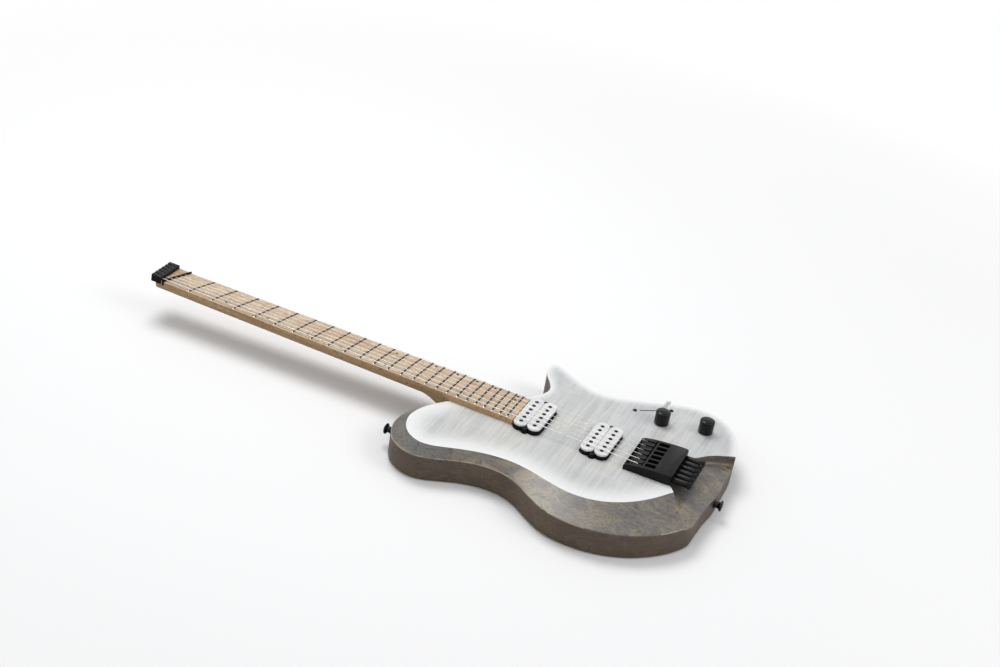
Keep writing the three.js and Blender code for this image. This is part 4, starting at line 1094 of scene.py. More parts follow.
    def mark_side(self, core: bpy.types.Object) -> None:
        """Mark the faces of the side wall, which take painted shade, and of the edge over it,
        which takes a painted highlight.

        Args:
            core: The finished core.
        """
        edge, on_edge_highlight, on_shaded_wall = finder(self.shoulder(0.5)), [], []
        for face in core.data.polygons:
            _, i, gap = edge.find(face.center)
            lean, bevelled = abs(face.normal.z), self.shares[i] > self.full_share / 2
            near = gap < self.highlight_reach * self.edge_radius * MM
            edge_highlight = near and bevelled and self.highlight_leans[0] < lean < self.highlight_leans[1]
            below = face.center.z - ORIGIN.z < (BODY_TOP - self.depth[i]) * MM
            on_edge_highlight.append(float(edge_highlight))
            on_shaded_wall.append(float(below and not edge_highlight and lean < self.wall_lean))
        marked(core, "wall", on_shaded_wall)
        marked(core, "edge", on_edge_highlight)

    def cap_piece(self) -> None:
        """Build the cap, with a fine grid on its face that carries the whiter rim: partly stain,
        partly painted sheen.
        """
        rings = [self.level(depth) for depth in (self.cap, self.cap * 0.6, self.edge_round)]
        for turn in spaced(0, math.pi / 2, 5)[1:]:
            inset = self.edge_round * (1 - math.cos(turn))
            ring = self.level(self.edge_round * (1 - math.sin(turn)))
            rings.append([
                p - outward(self.top_loop, i) * inset * clamped(1 - share / self.full_share)
                for i, (p, share) in enumerate(zip(ring, self.shares))])
        cap = Blank.lofted(rings).cut(*self.top_tools()).gridded(self.grid)
        made = cap.finished("cap", TOP, stands_for=["top_cap"], crease=40)
        rim, bevel, white = finder([p + Vector((0, 0, BODY_TOP)) for p in self.top_loop]), [], []
        for face in made.data.polygons:
            _, i, gap = rim.find(face.center)
            sloping = self.bevel_leans[0] < face.normal.z < self.bevel_leans[1]
            near = gap < self.bevel_width * MM and self.shares[i] > self.least_share
            bevel.append(float(sloping and near))
        # Rim value: whiter near the edge and further in on the bass side, partly stain and partly
        # painted sheen.
        for vert in made.data.vertices:
            nearest, _, gap = rim.find(vert.co)
            bass = clamped(0.5 - (nearest.y - ORIGIN.y) / (0.3 * self.width * MM))
            white.append(eased(1 - gap / (lerp(*self.rim_sheen_reach, bass) * MM)))
        marked(made, "bevel", bevel)
        marked(made, "rim", white, "POINT")


@dataclass
class Controls:
    """Control room in the back, its ledge for the cover, and the cover's screws."""

    volume: tuple = Body.at(0.729, 0.288)
    tone: tuple = Body.at(0.868, 0.337)
    roof: float = BODY_TOP - 6.0
    pot_room: float = 13.2
    barrel_room: float = 7.4
    bracket_room: float = 6.2
    half_bracket: float = 27.05
    ledge: float = 5.0
    ledge_depth: float = 2.9
    cover: float = 2.5
    gap: float = 0.4
    screw_inset: float = 2.6
    bracket_screws: tuple = ((-20.0, 8.8), (20.0, 8.8))
    head: tuple = ((0, 0.1), (2.3, 0.1), (2.6, 0.35), (1.3, 1.6), (1.3, 9), (0, 9.6))
    sink: tuple = ((0, -1), (3.2, -1), (3.1, 0), (1.5, 1.75), (1.5, 4), (0, 4))

    def room(self, grow: float, low: float, high: float) -> Blank:
        """Rout round the switch, the pots and the inner end of the jack.

        Args:
            grow: How far the room is widened.
            low: Lower height.
            high: Upper height.

        Returns:
            The room as a solid.
        """
        front, middle, rear = [
            tuple((Switch.place @ Vector((side * self.half_bracket, 0, 0))).xy)
            for side in (-1, 0, 1)]
        jack_end = tuple((Jack.seat() @ Vector((0, 0, -Jack.barrel))).xy)
        pot, barrel, bracket = [
            room + grow for room in (self.pot_room, self.barrel_room, self.bracket_room)]
        slots = [(self.volume, self.tone, pot), (middle, self.volume, pot),
                 (self.tone, jack_end, barrel), (front, rear, bracket), (rear, self.tone, bracket)]
        return Blank.fused([
            *[slot_prism(*slot, low, high) for slot in slots],
            Blank.prism([self.volume, self.tone, rear, middle], low, high)])

    def rooms(self) -> list[Blank]:
        """Shape the cutters of the room and of its ledge."""
        return [self.room(0.0, -1, self.roof), self.room(self.ledge, -2, self.ledge_depth)]

    def screw_places(self) -> list[Vector]:
        """Choose the places of the cover's screws, over the ledge all round."""
        outer = ((self.volume, (-0.94, -0.34)), (self.tone, (0.55, -0.84)),
                 (self.volume, (0.3, -0.95)), (self.tone, (0.95, 0.3)))
        reach = self.pot_room + self.screw_inset
        spots = [Vector((c[0] + d[0] * reach, c[1] + d[1] * reach, 0)) for c, d in outer]
        return spots + [Switch.place @ Vector((*spot, 0)) for spot in self.bracket_screws]

    def build(self) -> None:
        """Build the cover and the countersunk screws that hold it."""
        plate = self.room(self.ledge - self.gap, 0, self.cover)
        plate.rounded(0.4, 2, 60, lambda e: max(v.co.z for v in e.verts) < 0.01)
        screws, sinks = [], []
        for spot in self.screw_places():
            head = Blank.turned(self.head, 28)
            for tool in cross_tools(1.5, 0.28, -1, 0.8):
                head.cut(tool)
            screws.append(head.seated(Matrix.Translation(spot)))
            sinks.append(Blank.turned(self.sink, 28).seated(Matrix.Translation(spot)))
        plate.cut(*sinks).finished("cover_plate", PLASTIC, stands_for=["control_cover"])
        Blank.together(screws).finished("cover_screws", GLOSS_BLACK)


@dataclass
class Neck:
    """Neck, fingerboard with fanned frets, markers and nut, all in the neck's tilted frame."""

    end_x = -28.5
    seat_x: float = -20.4
    seat_z: float = -6.05
    nut_width: float = 43.0
    end_width: float = 56.4
    radius: float = 400.0
    depths: tuple = (13.0, 15.5, 26.0)
    squareness: tuple = (0.82, 0.3)
    heel: tuple = (366.0, 404.0)
    rod_bore: tuple = (4.2, 9.0)
    wire: float = 1.2
    wire_inset: float = 1.5
    wire_sink: float = 0.15
    dots: tuple = (
        (365.7, 20.5), (396, 21), (423.2, 21.4), (448.2, 21.8), (479.6, 22.3), (479.7, 12.8))
    side_dots: tuple = (3, 5, 7, 9, 12, 12.2, 15, 17, 19, 21, 24)
    nut_inset: float = 0.4

    def half(self, x: float) -> float:
        """Return half of the board's width at x."""
        return lerp(self.nut_width, self.end_width, x / BOARD_END) / 2

    def crown(self, y: float) -> float:
        """Return the height of the board's face at y."""
        return -FRET_HEIGHT - self.radius + math.sqrt(self.radius ** 2 - y * y)

    def section(self, x: float, grow: float, top: float) -> list[tuple]:
        """Return a section of the neck under the board, rounder in front, squarer at the heel."""
        half = self.half(x) + grow
        thin = lerp(self.depths[0], self.depths[1], x / self.heel[0])
        blend = eased((x - self.heel[0]) / (self.heel[1] - self.heel[0]))
        depth = lerp(thin, self.depths[2], blend) + grow
        power = lerp(*self.squareness, blend)
        ring = [(x, half * math.cos(a), BOARD_BOTTOM - depth * abs(math.sin(a)) ** power)
                for a in spaced(math.pi, 2 * math.pi, 29)]
        ring[0], ring[-1] = (x, -half, BOARD_BOTTOM), (x, half, BOARD_BOTTOM)
        return ring + [(x, half, top), (x, -half, top)]

    def bar(self, grow: float, start: float, end: float, top: float) -> Blank:
        """Loft the neck from one x to another."""
        stops = [x for x in [self.end_x, -14, 0, 120, 240, 320, *spaced(*self.heel, 14)]
                 if x > start] + [end]
        return Blank.lofted([self.section(x, grow, top) for x in [start, *stops]])

    def build(self) -> None:
        """Build the neck, the board and all that sits on it."""
        self.neck_piece()
        self.board_piece()
        self.frets()
        self.markers()
        self.nut()

    def neck_piece(self) -> None:
        """Build the neck with the wedge that carries nut and headpiece."""
        neck = self.bar(0.0, self.end_x, BOARD_END, BOARD_BOTTOM)
        half, low = self.half(0), BOARD_BOTTOM - 1
        shelf = []
        for side, nut_x in ((half, treble_fret(0)), (-half, bass_fret(0))):
            rear = nut_x - NUT_THICKNESS
            shelf.append([
                (self.end_x, side, low), (rear, side, low), (rear, side, -FRET_HEIGHT),
                (self.seat_x, side, -FRET_HEIGHT), (self.seat_x, side, self.seat_z),
                (self.end_x, side, self.seat_z)])
        radius, depth = self.rod_bore
        bore = rod(radius, self.end_x - 1, self.end_x + depth,
                   along_axis((1, 0, 0), (0, 0, BOARD_BOTTOM - 4)))
        Blank.fused([neck, Blank.lofted(shelf)]).cut(bore)
        neck.seated(NECK_FRAME).finished("neck_wood", NECK_MAPLE, stands_for=["neck"])

    def board_piece(self) -> None:
        """Build the fingerboard, slanted at the nut and rolled along its edges."""
        rings = []
        for x in spaced(bass_fret(0) - 0.2, BOARD_END, 24):
            half = self.half(x)
            face = [(x, y, self.crown(y) - 0.5 * max(0, (abs(y) / half - 0.965) / 0.035) ** 2)
                    for y in (half, *spaced(half * 0.985, -half * 0.985, 11), -half)]
            rings.append([(x, -half, BOARD_BOTTOM), (x, half, BOARD_BOTTOM)] + face)
        board = Blank.lofted(rings)
        slant = (-self.nut_width, treble_fret(0) - bass_fret(0), 0)
        board.sliced((bass_fret(0), -self.nut_width / 2, 0), slant)
        board.seated(NECK_FRAME)
        made = board.finished("board", BOARD_MAPLE, stands_for=["fingerboard"])
        # Sides of the board, which take painted shade.
        marked(made, "wall", [float(abs(face.normal.z) < 0.5) for face in made.data.polygons])

    def fret_place(self, number: int, side: float) -> tuple[float, float, float]:
        """Return a place on a fret, from its bass end at -1 to its treble end at 1."""
        x = lerp(bass_fret(number), treble_fret(number), (side + 1) / 2)
        y = side * (self.half(x) - self.wire_inset)
        return x, y, self.crown(y)

    def frets(self) -> None:
        """Build the frets: crowned wires that end in polished beads short of the board's edge."""
        wires, beads = [], []
        for number in range(1, FRET_COUNT + 1):
            rings = []
            for side in spaced(-1, 1, 13):
                x, y, crown = self.fret_place(number, side)
                low, tall = crown - self.wire_sink, FRET_HEIGHT + self.wire_sink
                rings.append([
                    (x - self.wire * math.cos(a), y, low + tall * math.sin(a))
                    for a in spaced(0, math.pi, 7)])
                rings[-1] += [(x + 0.3, y, crown - 1), (x - 0.3, y, crown - 1)]
            wires.append(Blank.lofted(rings))
            for side in (-1, 1):
                x, y, crown = self.fret_place(number, side)
                bead = Blank()
                bmesh.ops.create_uvsphere(bead.bm, u_segments=12, v_segments=8, radius=self.wire)
                place = Matrix.Translation((x, y, crown - self.wire_sink))
                beads.append(bead.seated(place @ Matrix.Diagonal((1, 1, 0.96, 1))))
        # The wires are painted dark, standing in for the dark surroundings that they mirror.
        self.inlaid(wires, "fret_wires", FRET_PAINTED_DARK)
        self.inlaid(beads, "fret_ends", FRET_BEAD)

    def inlaid(self, parts: list[Blank], name: str, finish: Finish) -> None:
        """Finish a row of parts of the board as one piece."""
        Blank.together(parts).seated(NECK_FRAME).finished(name, finish)

    def markers(self) -> None:
        """Build the face dots and the side dots."""
        def middle(n: int) -> float:
            return (lerp(bass_fret(n - 1), bass_fret(n), 0.5)
                    + lerp(treble_fret(n - 1), treble_fret(n), 0.5)) / 2

        spots = ((74.8, -13.6), (137.5, -14.8), (middle(7), -15.6), (middle(9), -16.3),
                 (middle(12), -17), (middle(12), 17), *self.dots)
        seats = [along_axis((0, y / self.radius, 1), (x, y, self.crown(y))) for x, y in spots]
        dots = [rod(2.0, -0.6, 0.03, seat, 28) for seat in seats]
        self.inlaid(dots, "face_dots", INLAY_BLACK)
        rims, hearts = [], []
        for n in self.side_dots:
            x = lerp(bass_fret(n - 1), bass_fret(n), 0.5)
            seat = along_axis((0, -1, 0), (x, -self.half(x), -3.6))
            rims.append(rod(1.25, -0.4, 0.03, seat, 24))
            hearts.append(rod(0.75, -0.4, 0.06, seat, 24))
        self.inlaid(rims, "side_dot_rims", INLAY_BLACK)
        self.inlaid(hearts, "side_dot_hearts", INLAY_PALE)

    def nut(self) -> None:
        """Build the slanted nut with a notch for each string."""
        half, foot = self.half(0) - self.nut_inset, BOARD_BOTTOM - 0.05
        front, back = -0.03, 0.03 - NUT_THICKNESS
        rings = []
        for y in spaced(half, -half, 9):
            x = lerp(treble_fret(0), bass_fret(0), (half - y) / (2 * half))
            rings.append([(x + back, y, foot), (x + front, y, foot), (x + front, y, 1.35),
                          (x - 0.9, y, 1.6), (x - 2.0, y, 1.3), (x + back, y, 0.3)])
        bar = Blank.lofted(rings)
        slots = []
        for i, share in enumerate(SPREAD):
            y, half_slot = share * NUT_SPREAD, GAUGES[i] / 2 + 0.06
            slots.append(Blank.block(
                (-24, y - half_slot, STRING_RISE - 0.05), (6, y + half_slot, 6)))
        bar.rounded(0.25, 2, 50).cut(*slots)
        bar.seated(NECK_FRAME).finished("nut_bar", NUT_BLACK, stands_for=["nut"])


@dataclass
class Headpiece:
    """Headpiece: a ribbed black block that clamps the strings, and its grub screws."""

    front_x: float = -20.4
    length: float = 15.0
    width: float = 44.0
    top: float = 4.4
    bottom: float = -6.0
    edge: float = 0.8
    rib: float = 2.2
    rib_gap: float = 0.25
    screw_bore: tuple = (2.35, 8.05)
    string_bore: float = 0.95
    screw: tuple = (2.1, 1.15)

    def build(self) -> None:
        """Build the block and its screws."""
        rear = self.front_x - self.length
        pitch = self.width / STRING_COUNT
        half, chamfer = self.width / 2, self.bottom + self.edge
        section = [(-half + self.edge, self.bottom), (half - self.edge, self.bottom),
                   (half, chamfer)]
        for i in reversed(range(STRING_COUNT)):
            middle = (i - 2.5) * pitch
            section += [(middle + (pitch / 2 - self.rib_gap) * math.cos(a),
                         self.top - self.rib + self.rib * math.sin(a) ** 0.45)
                        for a in spaced(0.02, math.pi - 0.02, 13)]
        section.append((-half, chamfer))
        block = Blank.lofted([[(x, y, z) for y, z in section] for x in (rear, self.front_x)])
        block.rounded(0.5, 3, 60, lambda e: abs(e.verts[0].co.x - e.verts[1].co.x) < 0.01)
        bores = []
        for i, share in enumerate(SPREAD):
            place = along_axis((1, 0, 0), (0, share * NUT_SPREAD, STRING_RISE + GAUGES[i] / 2))
            bores += [rod(self.screw_bore[0], rear - 1, rear + self.screw_bore[1], place, 24),
                      rod(self.string_bore, rear + 7, self.front_x + 1, place, 16)]
            screw = rod(self.screw[0], rear + 0.25, rear + 8, place, 28, 0.3)
            screw.cut(rod(self.screw[1], rear - 1, rear + 3, place, 6))
            number = STRING_COUNT - i
            screw.seated(NECK_FRAME).finished(
                f"grub_{number}", GLOSS_BLACK, f"clamp_screw_{number}_body",
                [f"clamp_screw_{number}"])
        block.cut(*bores)
        block.seated(NECK_FRAME).finished("head_block", HARDWARE, stands_for=["headpiece"])


PICKUPS = (("neck", 513.45, 8.3), ("bridge", 602.35, 7.8))


@dataclass
class Pickup:
    """Humbucking pickup: two open white bobbins with black poles over a black base."""

    name: str
    x: float
    top: float
    pitch: float = 18.05
    coil_width: float = 17.7
    coil_length: float = 69.5
    plate: float = 2.8
    ear: float = 3.7
    ear_y: float = 33.9
    half_web: tuple = (2.3, 34.2)
    screw_y: float = 35.2
    spread_x: float = 557.9
    pole: tuple = ((0, -2), (2.4, -2), (2.4, 0.1), (2.1, 0.35), (0, 0.4))
    screw: tuple = ((0, -5), (1.0, -5), (1.0, -2.9), (1.6, -2.9), (1.6, -2.5), (1.2, -2.1),
                    (0, -2.0))

    def outline_blank(self, grow: float, low: float, high: float) -> Blank:
        """Shape the pickup's outline as a block: both coils, the web and the ears.

        Args:
            grow: How far the outline is moved outwards.
            low: Lower height.
            high: Upper height.

        Returns:
            The block.
        """
        half = (self.coil_length - self.coil_width) / 2
        coils = [Blank.prism([(x + self.x + side * self.pitch / 2, y) for x, y in stadium(
            half, self.coil_width / 2 + grow)], low, high) for side in (-1, 1)]
        across, along = self.half_web
        web = Blank.block((self.x - across, -along, low), (self.x + across, along, high))
        ears = [rod(self.ear + grow, low, high, Matrix.Translation((self.x, side * self.ear_y, 0)))
                for side in (-1, 1)]
        return Blank.fused([*coils, web, *ears])

    def build(self) -> None:
        """Build the base, the bobbins, the poles and the small screws."""
        top = BODY_TOP + self.top
        base = self.outline_blank(-0.25, BODY_TOP - 14, top - self.plate - 0.05)
        base.rounded(0.35, 2, 60)
        base.finished(f"{self.name}_base", PLASTIC, stands_for=[f"{self.name}_pickup_base"])
        half = (self.coil_length - self.coil_width) / 2
        share = self.spread_x / TREBLE_SADDLE
        poles = []
        for side, label in ((-1, "front"), (1, "rear")):
            x = self.x + side * self.pitch / 2
            rim = [(x + px, py) for px, py in stadium(half, self.coil_width / 2, 21)]
            plate = Blank.prism(rim, top - self.plate, top)
            plate.rounded(0.6, 4, 60)
            ys = [s * lerp(NUT_SPREAD, BRIDGE_SPREAD, share) for s in SPREAD]
            plate.cut(*[rod(2.62, top - 1.5, top + 1, Matrix.Translation((x, y, 0))) for y in ys])
            plate.finished(f"{self.name}_plate_{label}", BOBBIN_WHITE,
                           stands_for=[f"{self.name}_pickup_bobbin_{label}"])
            for y in ys:
                pole = Blank.turned([(r, top + z) for r, z in self.pole], 28)
                pole.seated(Matrix.Translation((x, y, 0)))
                slot = Blank.block((x - 3, y - 0.35, top - 0.35), (x + 3, y + 0.35, top + 1))
                poles.append(pole.cut(slot) if side > 0 else pole)
        Blank.together(poles).finished(f"{self.name}_poles", POLE_BLACK)
        screws = [
            Blank.turned([(r, top + z) for r, z in self.screw], 24).seated(
                Matrix.Translation((self.x, side * self.screw_y, 0))) for side in (-1, 1)]
        Blank.together(screws).finished(f"{self.name}_height_screws", POLE_BLACK)


@dataclass
class Bridge:
    """Bridge: a wedge with saddles in a tray, channels with windows and six tail tuners."""

    rear_x: float = 703.5
    width: float = 69.0
    corner: float = 3.5
    heights: tuple = (5.8, 8.3, 10.6, 12.3, 13.2, 13.2)
    shares: tuple = (0, 0.08, 0.29, 0.56, 0.8, 1)
    tray: tuple = (644.2, 665.0)
    channel: tuple = (664.0, 688.5)
    window: tuple = (667.4, 680.5)
    puller_x: tuple = (671.5, 680.5)
    saddle_rear: float = 663.1
    floor: float = BODY_TOP + 1.5
    half_channel: float = 4.2
    half_window: float = 3.7
    half_saddle: float = 5.1
    half_puller: float = 4.0
    thread: tuple = (1.6, 1.3, 0.7, 48)

    def string_y(self, i: int) -> float:
        """Return the y of a string over the bridge, 0 for the bass string."""
        return SPREAD[i] * BRIDGE_SPREAD

    def axis(self, i: int, x: float = 0.0) -> Matrix:
        """Return the matrix on a tuner's axis, z pointing to the tail, 0 for the bass string."""
        return along_axis((1, 0, 0), (x, self.string_y(i), TUNER_AXIS))

    def build(self) -> None:
        """Build the frame and what moves in it."""
        self.frame_piece()
        for i in range(STRING_COUNT):
            self.saddle(i)
            self.puller(i)
            self.thimble(i)

    def frame_piece(self) -> None:
        """Build the frame: rail, tray, channels, windows and roof."""
        length = self.rear_x - BRIDGE_FRONT
        side = [(BRIDGE_FRONT, BODY_TOP), (self.rear_x, BODY_TOP)] + [
            (BRIDGE_FRONT + s * length, BODY_TOP + h)
            for s, h in reversed(list(zip(self.shares, self.heights)))]
        half = self.width / 2
        frame_blank = Blank.lofted([[(x, y, z) for x, z in side] for y in (half, -half)])
        plan = ([(BRIDGE_FRONT - 1, half), (BRIDGE_FRONT - 1, -half)]
                + arc((self.rear_x - self.corner, -half + self.corner), self.corner, -90, 0, 8)
                + arc((self.rear_x - self.corner, half - self.corner), self.corner, 0, 90, 8))
        frame_blank.worked(Blank.prism(plan, 0, 100), "INTERSECT")
        frame_blank.rounded(0.7, 3, 28, lambda e: min(v.co.z for v in e.verts) > BODY_TOP + 0.5)
        tray_half = BRIDGE_SPREAD / 2 + 5.4
        tools = [Blank.block(
            (self.tray[0], -tray_half, self.floor), (self.tray[1], tray_half, 100))]
        for i in range(STRING_COUNT):
            y, place = self.string_y(i), self.axis(i)
            tools += [
                Blank.block((self.channel[0], y - self.half_channel, self.floor),
                            (self.channel[1], y + self.half_channel, self.floor + 6.2)),
                Blank.block((self.window[0], y - self.half_window, self.floor + 1),
                            (self.window[1], y + self.half_window, 100)).rounded(
                    0.8, 4, 60, upright),
                rod(1.75, self.channel[1] - 1.5, self.rear_x + 1, place, 20),
                rod(3.15, self.rear_x - 4.7, self.rear_x + 1, place, 28)]
        frame_blank.cut(Blank.fused(tools)).finished(
            "bridge_block", HARDWARE, stands_for=["bridge_frame"], crease=26)

    def saddle(self, i: int) -> None:
        """Build one saddle: a rounded wedge with the string's groove and slot."""
        number, y = STRING_COUNT - i, self.string_y(i)
        x, rear, radius = saddle_x(i), self.saddle_rear, GAUGES[i] / 2
        profile = [(x - 1.5, self.floor), (rear, self.floor), (rear, BODY_TOP + 10.6),
                   (x + 3, CREST + 0.5), (x + 0.75, CREST), (x - 0.2, CREST - 0.1),
                   (x - 1.0, CREST - 0.6), (x - 1.5, CREST - 1.5)]
        wedge = Blank.lofted([
            [(px, y + side * self.half_saddle, pz) for px, pz in profile] for side in (1, -1)])
        wedge.rounded(0.45, 3, 60, lambda e: abs(e.verts[0].co.y - e.verts[1].co.y) < 0.01)
        slot = Blank.block((x + 1.2, y - 1.5, BODY_TOP + 3.4), (rear + 1, y + 1.5, 100))
        slot.rounded(1.4, 5, 60, lambda e: upright(e) and max(v.co.x for v in e.verts) < x + 2)
        groove = rod(radius + 0.05, x - 3, x + 3,
                     along_axis((1, 0, 0), (0, y, CREST - 0.05 + radius)), 24)
        wedge.cut(slot, groove)
        wedge.finished(f"saddle_block_{number}", HARDWARE, f"saddle_{number}_body",
                       [f"saddle_{number}"])

    def puller(self, i: int) -> None:
        """Build one puller with its threaded rod."""
        number, y = STRING_COUNT - i, self.string_y(i)
        front, rear = self.puller_x
        body = Blank.block((front, y - self.half_puller, self.floor + 0.2),
                           (rear, y + self.half_puller, self.floor + 6.0))
        body.rounded(0.4, 2, 60)
        body.cut(Blank.block((front - 1, y - 1.1, TUNER_AXIS - 1.1), (front + 4, y + 1.1, 100)))
        crest, root, pitch, turns = self.thread
        thread = [(0, 0.0)]
        for k in range(turns):
            thread += [(crest, 0.2 + k * pitch), (root, 0.55 + k * pitch)]
        thread.append((0, thread[-1][1] + 0.1))
        body.beside(Blank.turned(thread, 20).seated(self.axis(i, rear - 0.1)))
        body.finished(f"puller_block_{number}", HARDWARE, f"puller_{number}_body",
                      [f"string_puller_{number}"])

    def thimble(self, i: int) -> None:
        """Build one tuner thimble: a tapered sleeve and a ribbed crown."""
        number, start, end = STRING_COUNT - i, self.rear_x + 0.15, self.rear_x + 23.6
        sleeve = Blank.turned([
            (0, start - 4.5), (3.0, start - 4.5), (3.0, start), (3.6, start), (3.9, start + 0.4),
            (3.9, end - 5.2), (3.5, end - 4.7), (3.5, end - 3.9), (0, end - 3.9)], 40)
        crown = fluted(((end - 4.3, 3.9, 0.1), (end - 4.0, 4.45, 0.5), (end - 0.9, 4.6, 0.6),
                        (end - 0.25, 4.3, 0.45), (end, 3.7, 0.0)), 16, 96)
        dimple = Blank.turned(
            [(0, end - 1.4), (1.6, end - 1.2), (2.3, end + 0.5), (0, end + 0.6)], 32)
        sleeve.beside(crown.cut(dimple)).seated(self.axis(i))
        sleeve.finished(f"thimble_sleeve_{number}", HARDWARE, f"thimble_{number}_body",
                        [f"tuner_thimble_{number}"], crease=38)


@dataclass
class Strings:
    """Strings: round steel from the clamps over nut and saddles to the pullers."""

    sides: int = 12
    clamp_x: float = -27.3
    end_x: float = 673.5

    def route(self, i: int) -> list[Vector]:
        """Return the string's route, 0 for the bass string."""
        radius = GAUGES[i] / 2
        y_nut, y, rise = SPREAD[i] * NUT_SPREAD, SPREAD[i] * BRIDGE_SPREAD, STRING_RISE + radius
        nut_x = lerp(bass_fret(0), treble_fret(0), i / (STRING_COUNT - 1))
        x, crest = saddle_x(i), CREST - 0.05 + radius
        start = [NECK_FRAME @ Vector((at, y_nut, rise))
                 for at in (self.clamp_x, nut_x - NUT_THICKNESS, nut_x)]
        return start + [
            Vector((x - 1.5, y, crest)), Vector((x + 3.5, y, crest)),
            Vector((x + 4.2, y, lerp(crest, TUNER_AXIS, 0.05))),
            Vector((x + 5.2, y, lerp(crest, TUNER_AXIS, 0.17))),
            Vector((self.end_x, y, TUNER_AXIS))]

    def build(self) -> None:
        """Build the six strings."""
        for i in range(STRING_COUNT):
            number, route = STRING_COUNT - i, self.route(i)
            rings = []
            for k, p in enumerate(route):
                ahead = route[min(k + 1, len(route) - 1)] - route[max(k - 1, 0)]
                across = Vector((0, 1, 0)).cross(ahead).normalized()
                sideways = ahead.cross(across).normalized()
                rings.append([p + (sideways * math.cos(a) - across * math.sin(a)) * GAUGES[i] / 2
                              for a in spaced(0, math.tau, self.sides + 1)[:-1]])
            self.finished(Blank.lofted(rings), number, i)

    def finished(self, blank: Blank, number: int, i: int) -> None:
        """Finish a string in the row frame, with its transform baked into the mesh."""
        finish = WOUND_STRING if i < 3 else PLAIN_STRING
        made = blank.placed(f"string_wire_{number}", finish, [f"string_{number}"])
        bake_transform(made)


@dataclass
class Knob:
    """Control knob: a finely fluted black barrel with a domed, polished top."""

    name: str
    centre: tuple
    radius: float = 9.5
    height: float = 18.0
    lift: float = 0.8
    flutes: int = 18

    def build(self) -> None:
        """Build the knob."""
        low, r = BODY_TOP + self.lift, self.radius
        top = low + self.height
        levels = (
            (low, r - 0.35, 0.1), (low + 0.4, r, 0.22), (top - 2.6, r, 0.22),
            (top - 1.9, r - 0.1, 0.06), (top - 1.45, r - 0.4, 0.0), (top - 1.15, r - 0.9, 0.0),
            (top - 1.05, r - 1.5, 0.0), (top - 1.2, r - 1.75, 0.0), (top - 1.2, r - 2.0, 0.0),
            (top - 0.95, r - 2.3, 0.0), (top - 0.6, r - 3.6, 0.0), (top - 0.25, r - 5.8, 0.0),
            (top - 0.02, 0.8, 0.0))
        knob = fluted(levels, self.flutes, 8 * self.flutes)
        knob.cut(rod(6.3, low - 1, low + 2, Matrix()))
        knob.seated(Matrix.Translation((*self.centre, 0)))
        knob.finished(f"{self.name}_cap", GLOSS_BLACK, f"{self.name}_control",
                      [f"{self.name}_knob"], crease=38)


@dataclass
class Switch:
    """Blade switch: slot, leaning lever with its white tip, and two screws."""

    place = Matrix.Translation((*Body.at(0.6821, 0.3579), 0)) @ Matrix.Rotation(
        math.radians(34.6), 4, "Z")
    lean: float = math.radians(32)
    pivot_depth: float = 16.0
    half_slot: float = 18.0
    blade: float = 27.87
    grip: float = 3.0
    tip: float = 12.0
    screw_pitch: float = 48.7

    def slot_tool(self) -> Blank:
        """Shape the cutter of the slot that the lever stands in."""
        slot = Blank.block(
            (-self.half_slot, -1.0, BODY_TOP - 12), (self.half_slot, 1.0, BODY_TOP + 1))
        return slot.rounded(0.95, 4, 60, upright).seated(self.place)

    def build(self) -> None:
        """Build tip, blade and screws."""
        leaning = (self.place @ Matrix.Translation((0, 0, BODY_TOP - self.pivot_depth))
                   @ Matrix.Rotation(self.lean, 4, "Y"))
        foot, long = self.blade - self.grip, self.tip
        tip = Blank.turned([
            (0, foot), (1.7, foot), (1.9, foot + 0.3), (2.25, foot + 0.5 * long),
            (2.5, foot + 0.8 * long), (2.35, foot + 0.9 * long), (1.7, foot + 0.97 * long),
            (0.8, foot + 0.995 * long), (0, foot + long)], 40)
        tip.seated(leaning @ Matrix.Diagonal((1.4, 1, 1, 1)))
        tip.finished("lever_tip", TIP_WHITE, "pickup_selector", ["switch_tip"])
        blade = Blank.block((-2.3, -0.6, 0), (2.3, 0.6, self.blade - 0.2)).rounded(0.2, 2, 60)
        blade.beside(rod(2.3, -0.6, 0.6, along_axis((0, 1, 0), (0, 0, 0))))
        blade.seated(leaning).finished("lever_blade", PLATED, "pickup_selector", ["switch_lever"])
        for side, label in ((-1, "front"), (1, "rear")):
            screw = Blank.turned([
                (0, 30), (1.6, 30), (1.6, BODY_TOP - 0.2), (2.7, BODY_TOP), (2.7, BODY_TOP + 0.55),
                (2.3, BODY_TOP + 1.0), (1.5, BODY_TOP + 1.3), (0, BODY_TOP + 1.3)], 32)
            screw.cut(rod(0.95, BODY_TOP + 0.4, BODY_TOP + 2, Matrix(), 6))
            screw.seated(self.place @ Matrix.Translation((side * self.screw_pitch / 2, 0, 0)))
            screw.finished(f"slot_screw_{label}", GLOSS_BLACK,
                           stands_for=[f"switch_screw_{label}"])


class Jack:
    """Output jack: a black flange sunk in the side wall, with its socket."""

    barrel = 27.0

    @staticmethod
    def seat() -> Matrix:
        """Return the matrix at the wall, z pointing out of it."""
        low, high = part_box("output_jack")
        middle = ((low + high) / 2 - ORIGIN) / MM
        return along_axis((0, 1, 0), (middle.x, (high.y - ORIGIN.y) / MM, middle.z))

    @classmethod
    def tools(cls) -> list[Blank]:
        """Shape the cutters of the jack's seat and bore."""
        return [rod(9.75, -2, 1, cls.seat()), rod(6.4, -cls.barrel - 1, 0, cls.seat())]

    def build(self) -> None:
        """Build the flange and barrel."""
        body = Blank.turned([
            (0, -self.barrel), (6.2, -self.barrel), (6.2, -2), (9.5, -2), (9.5, -0.5), (9.1, 0),
            (5.4, 0), (5.1, -0.35), (4.0, -0.35), (3.3, -0.8), (3.3, -25), (0, -25)], 48)
        body.seated(self.seat()).finished("jack_socket", HARDWARE, stands_for=["output_jack"])


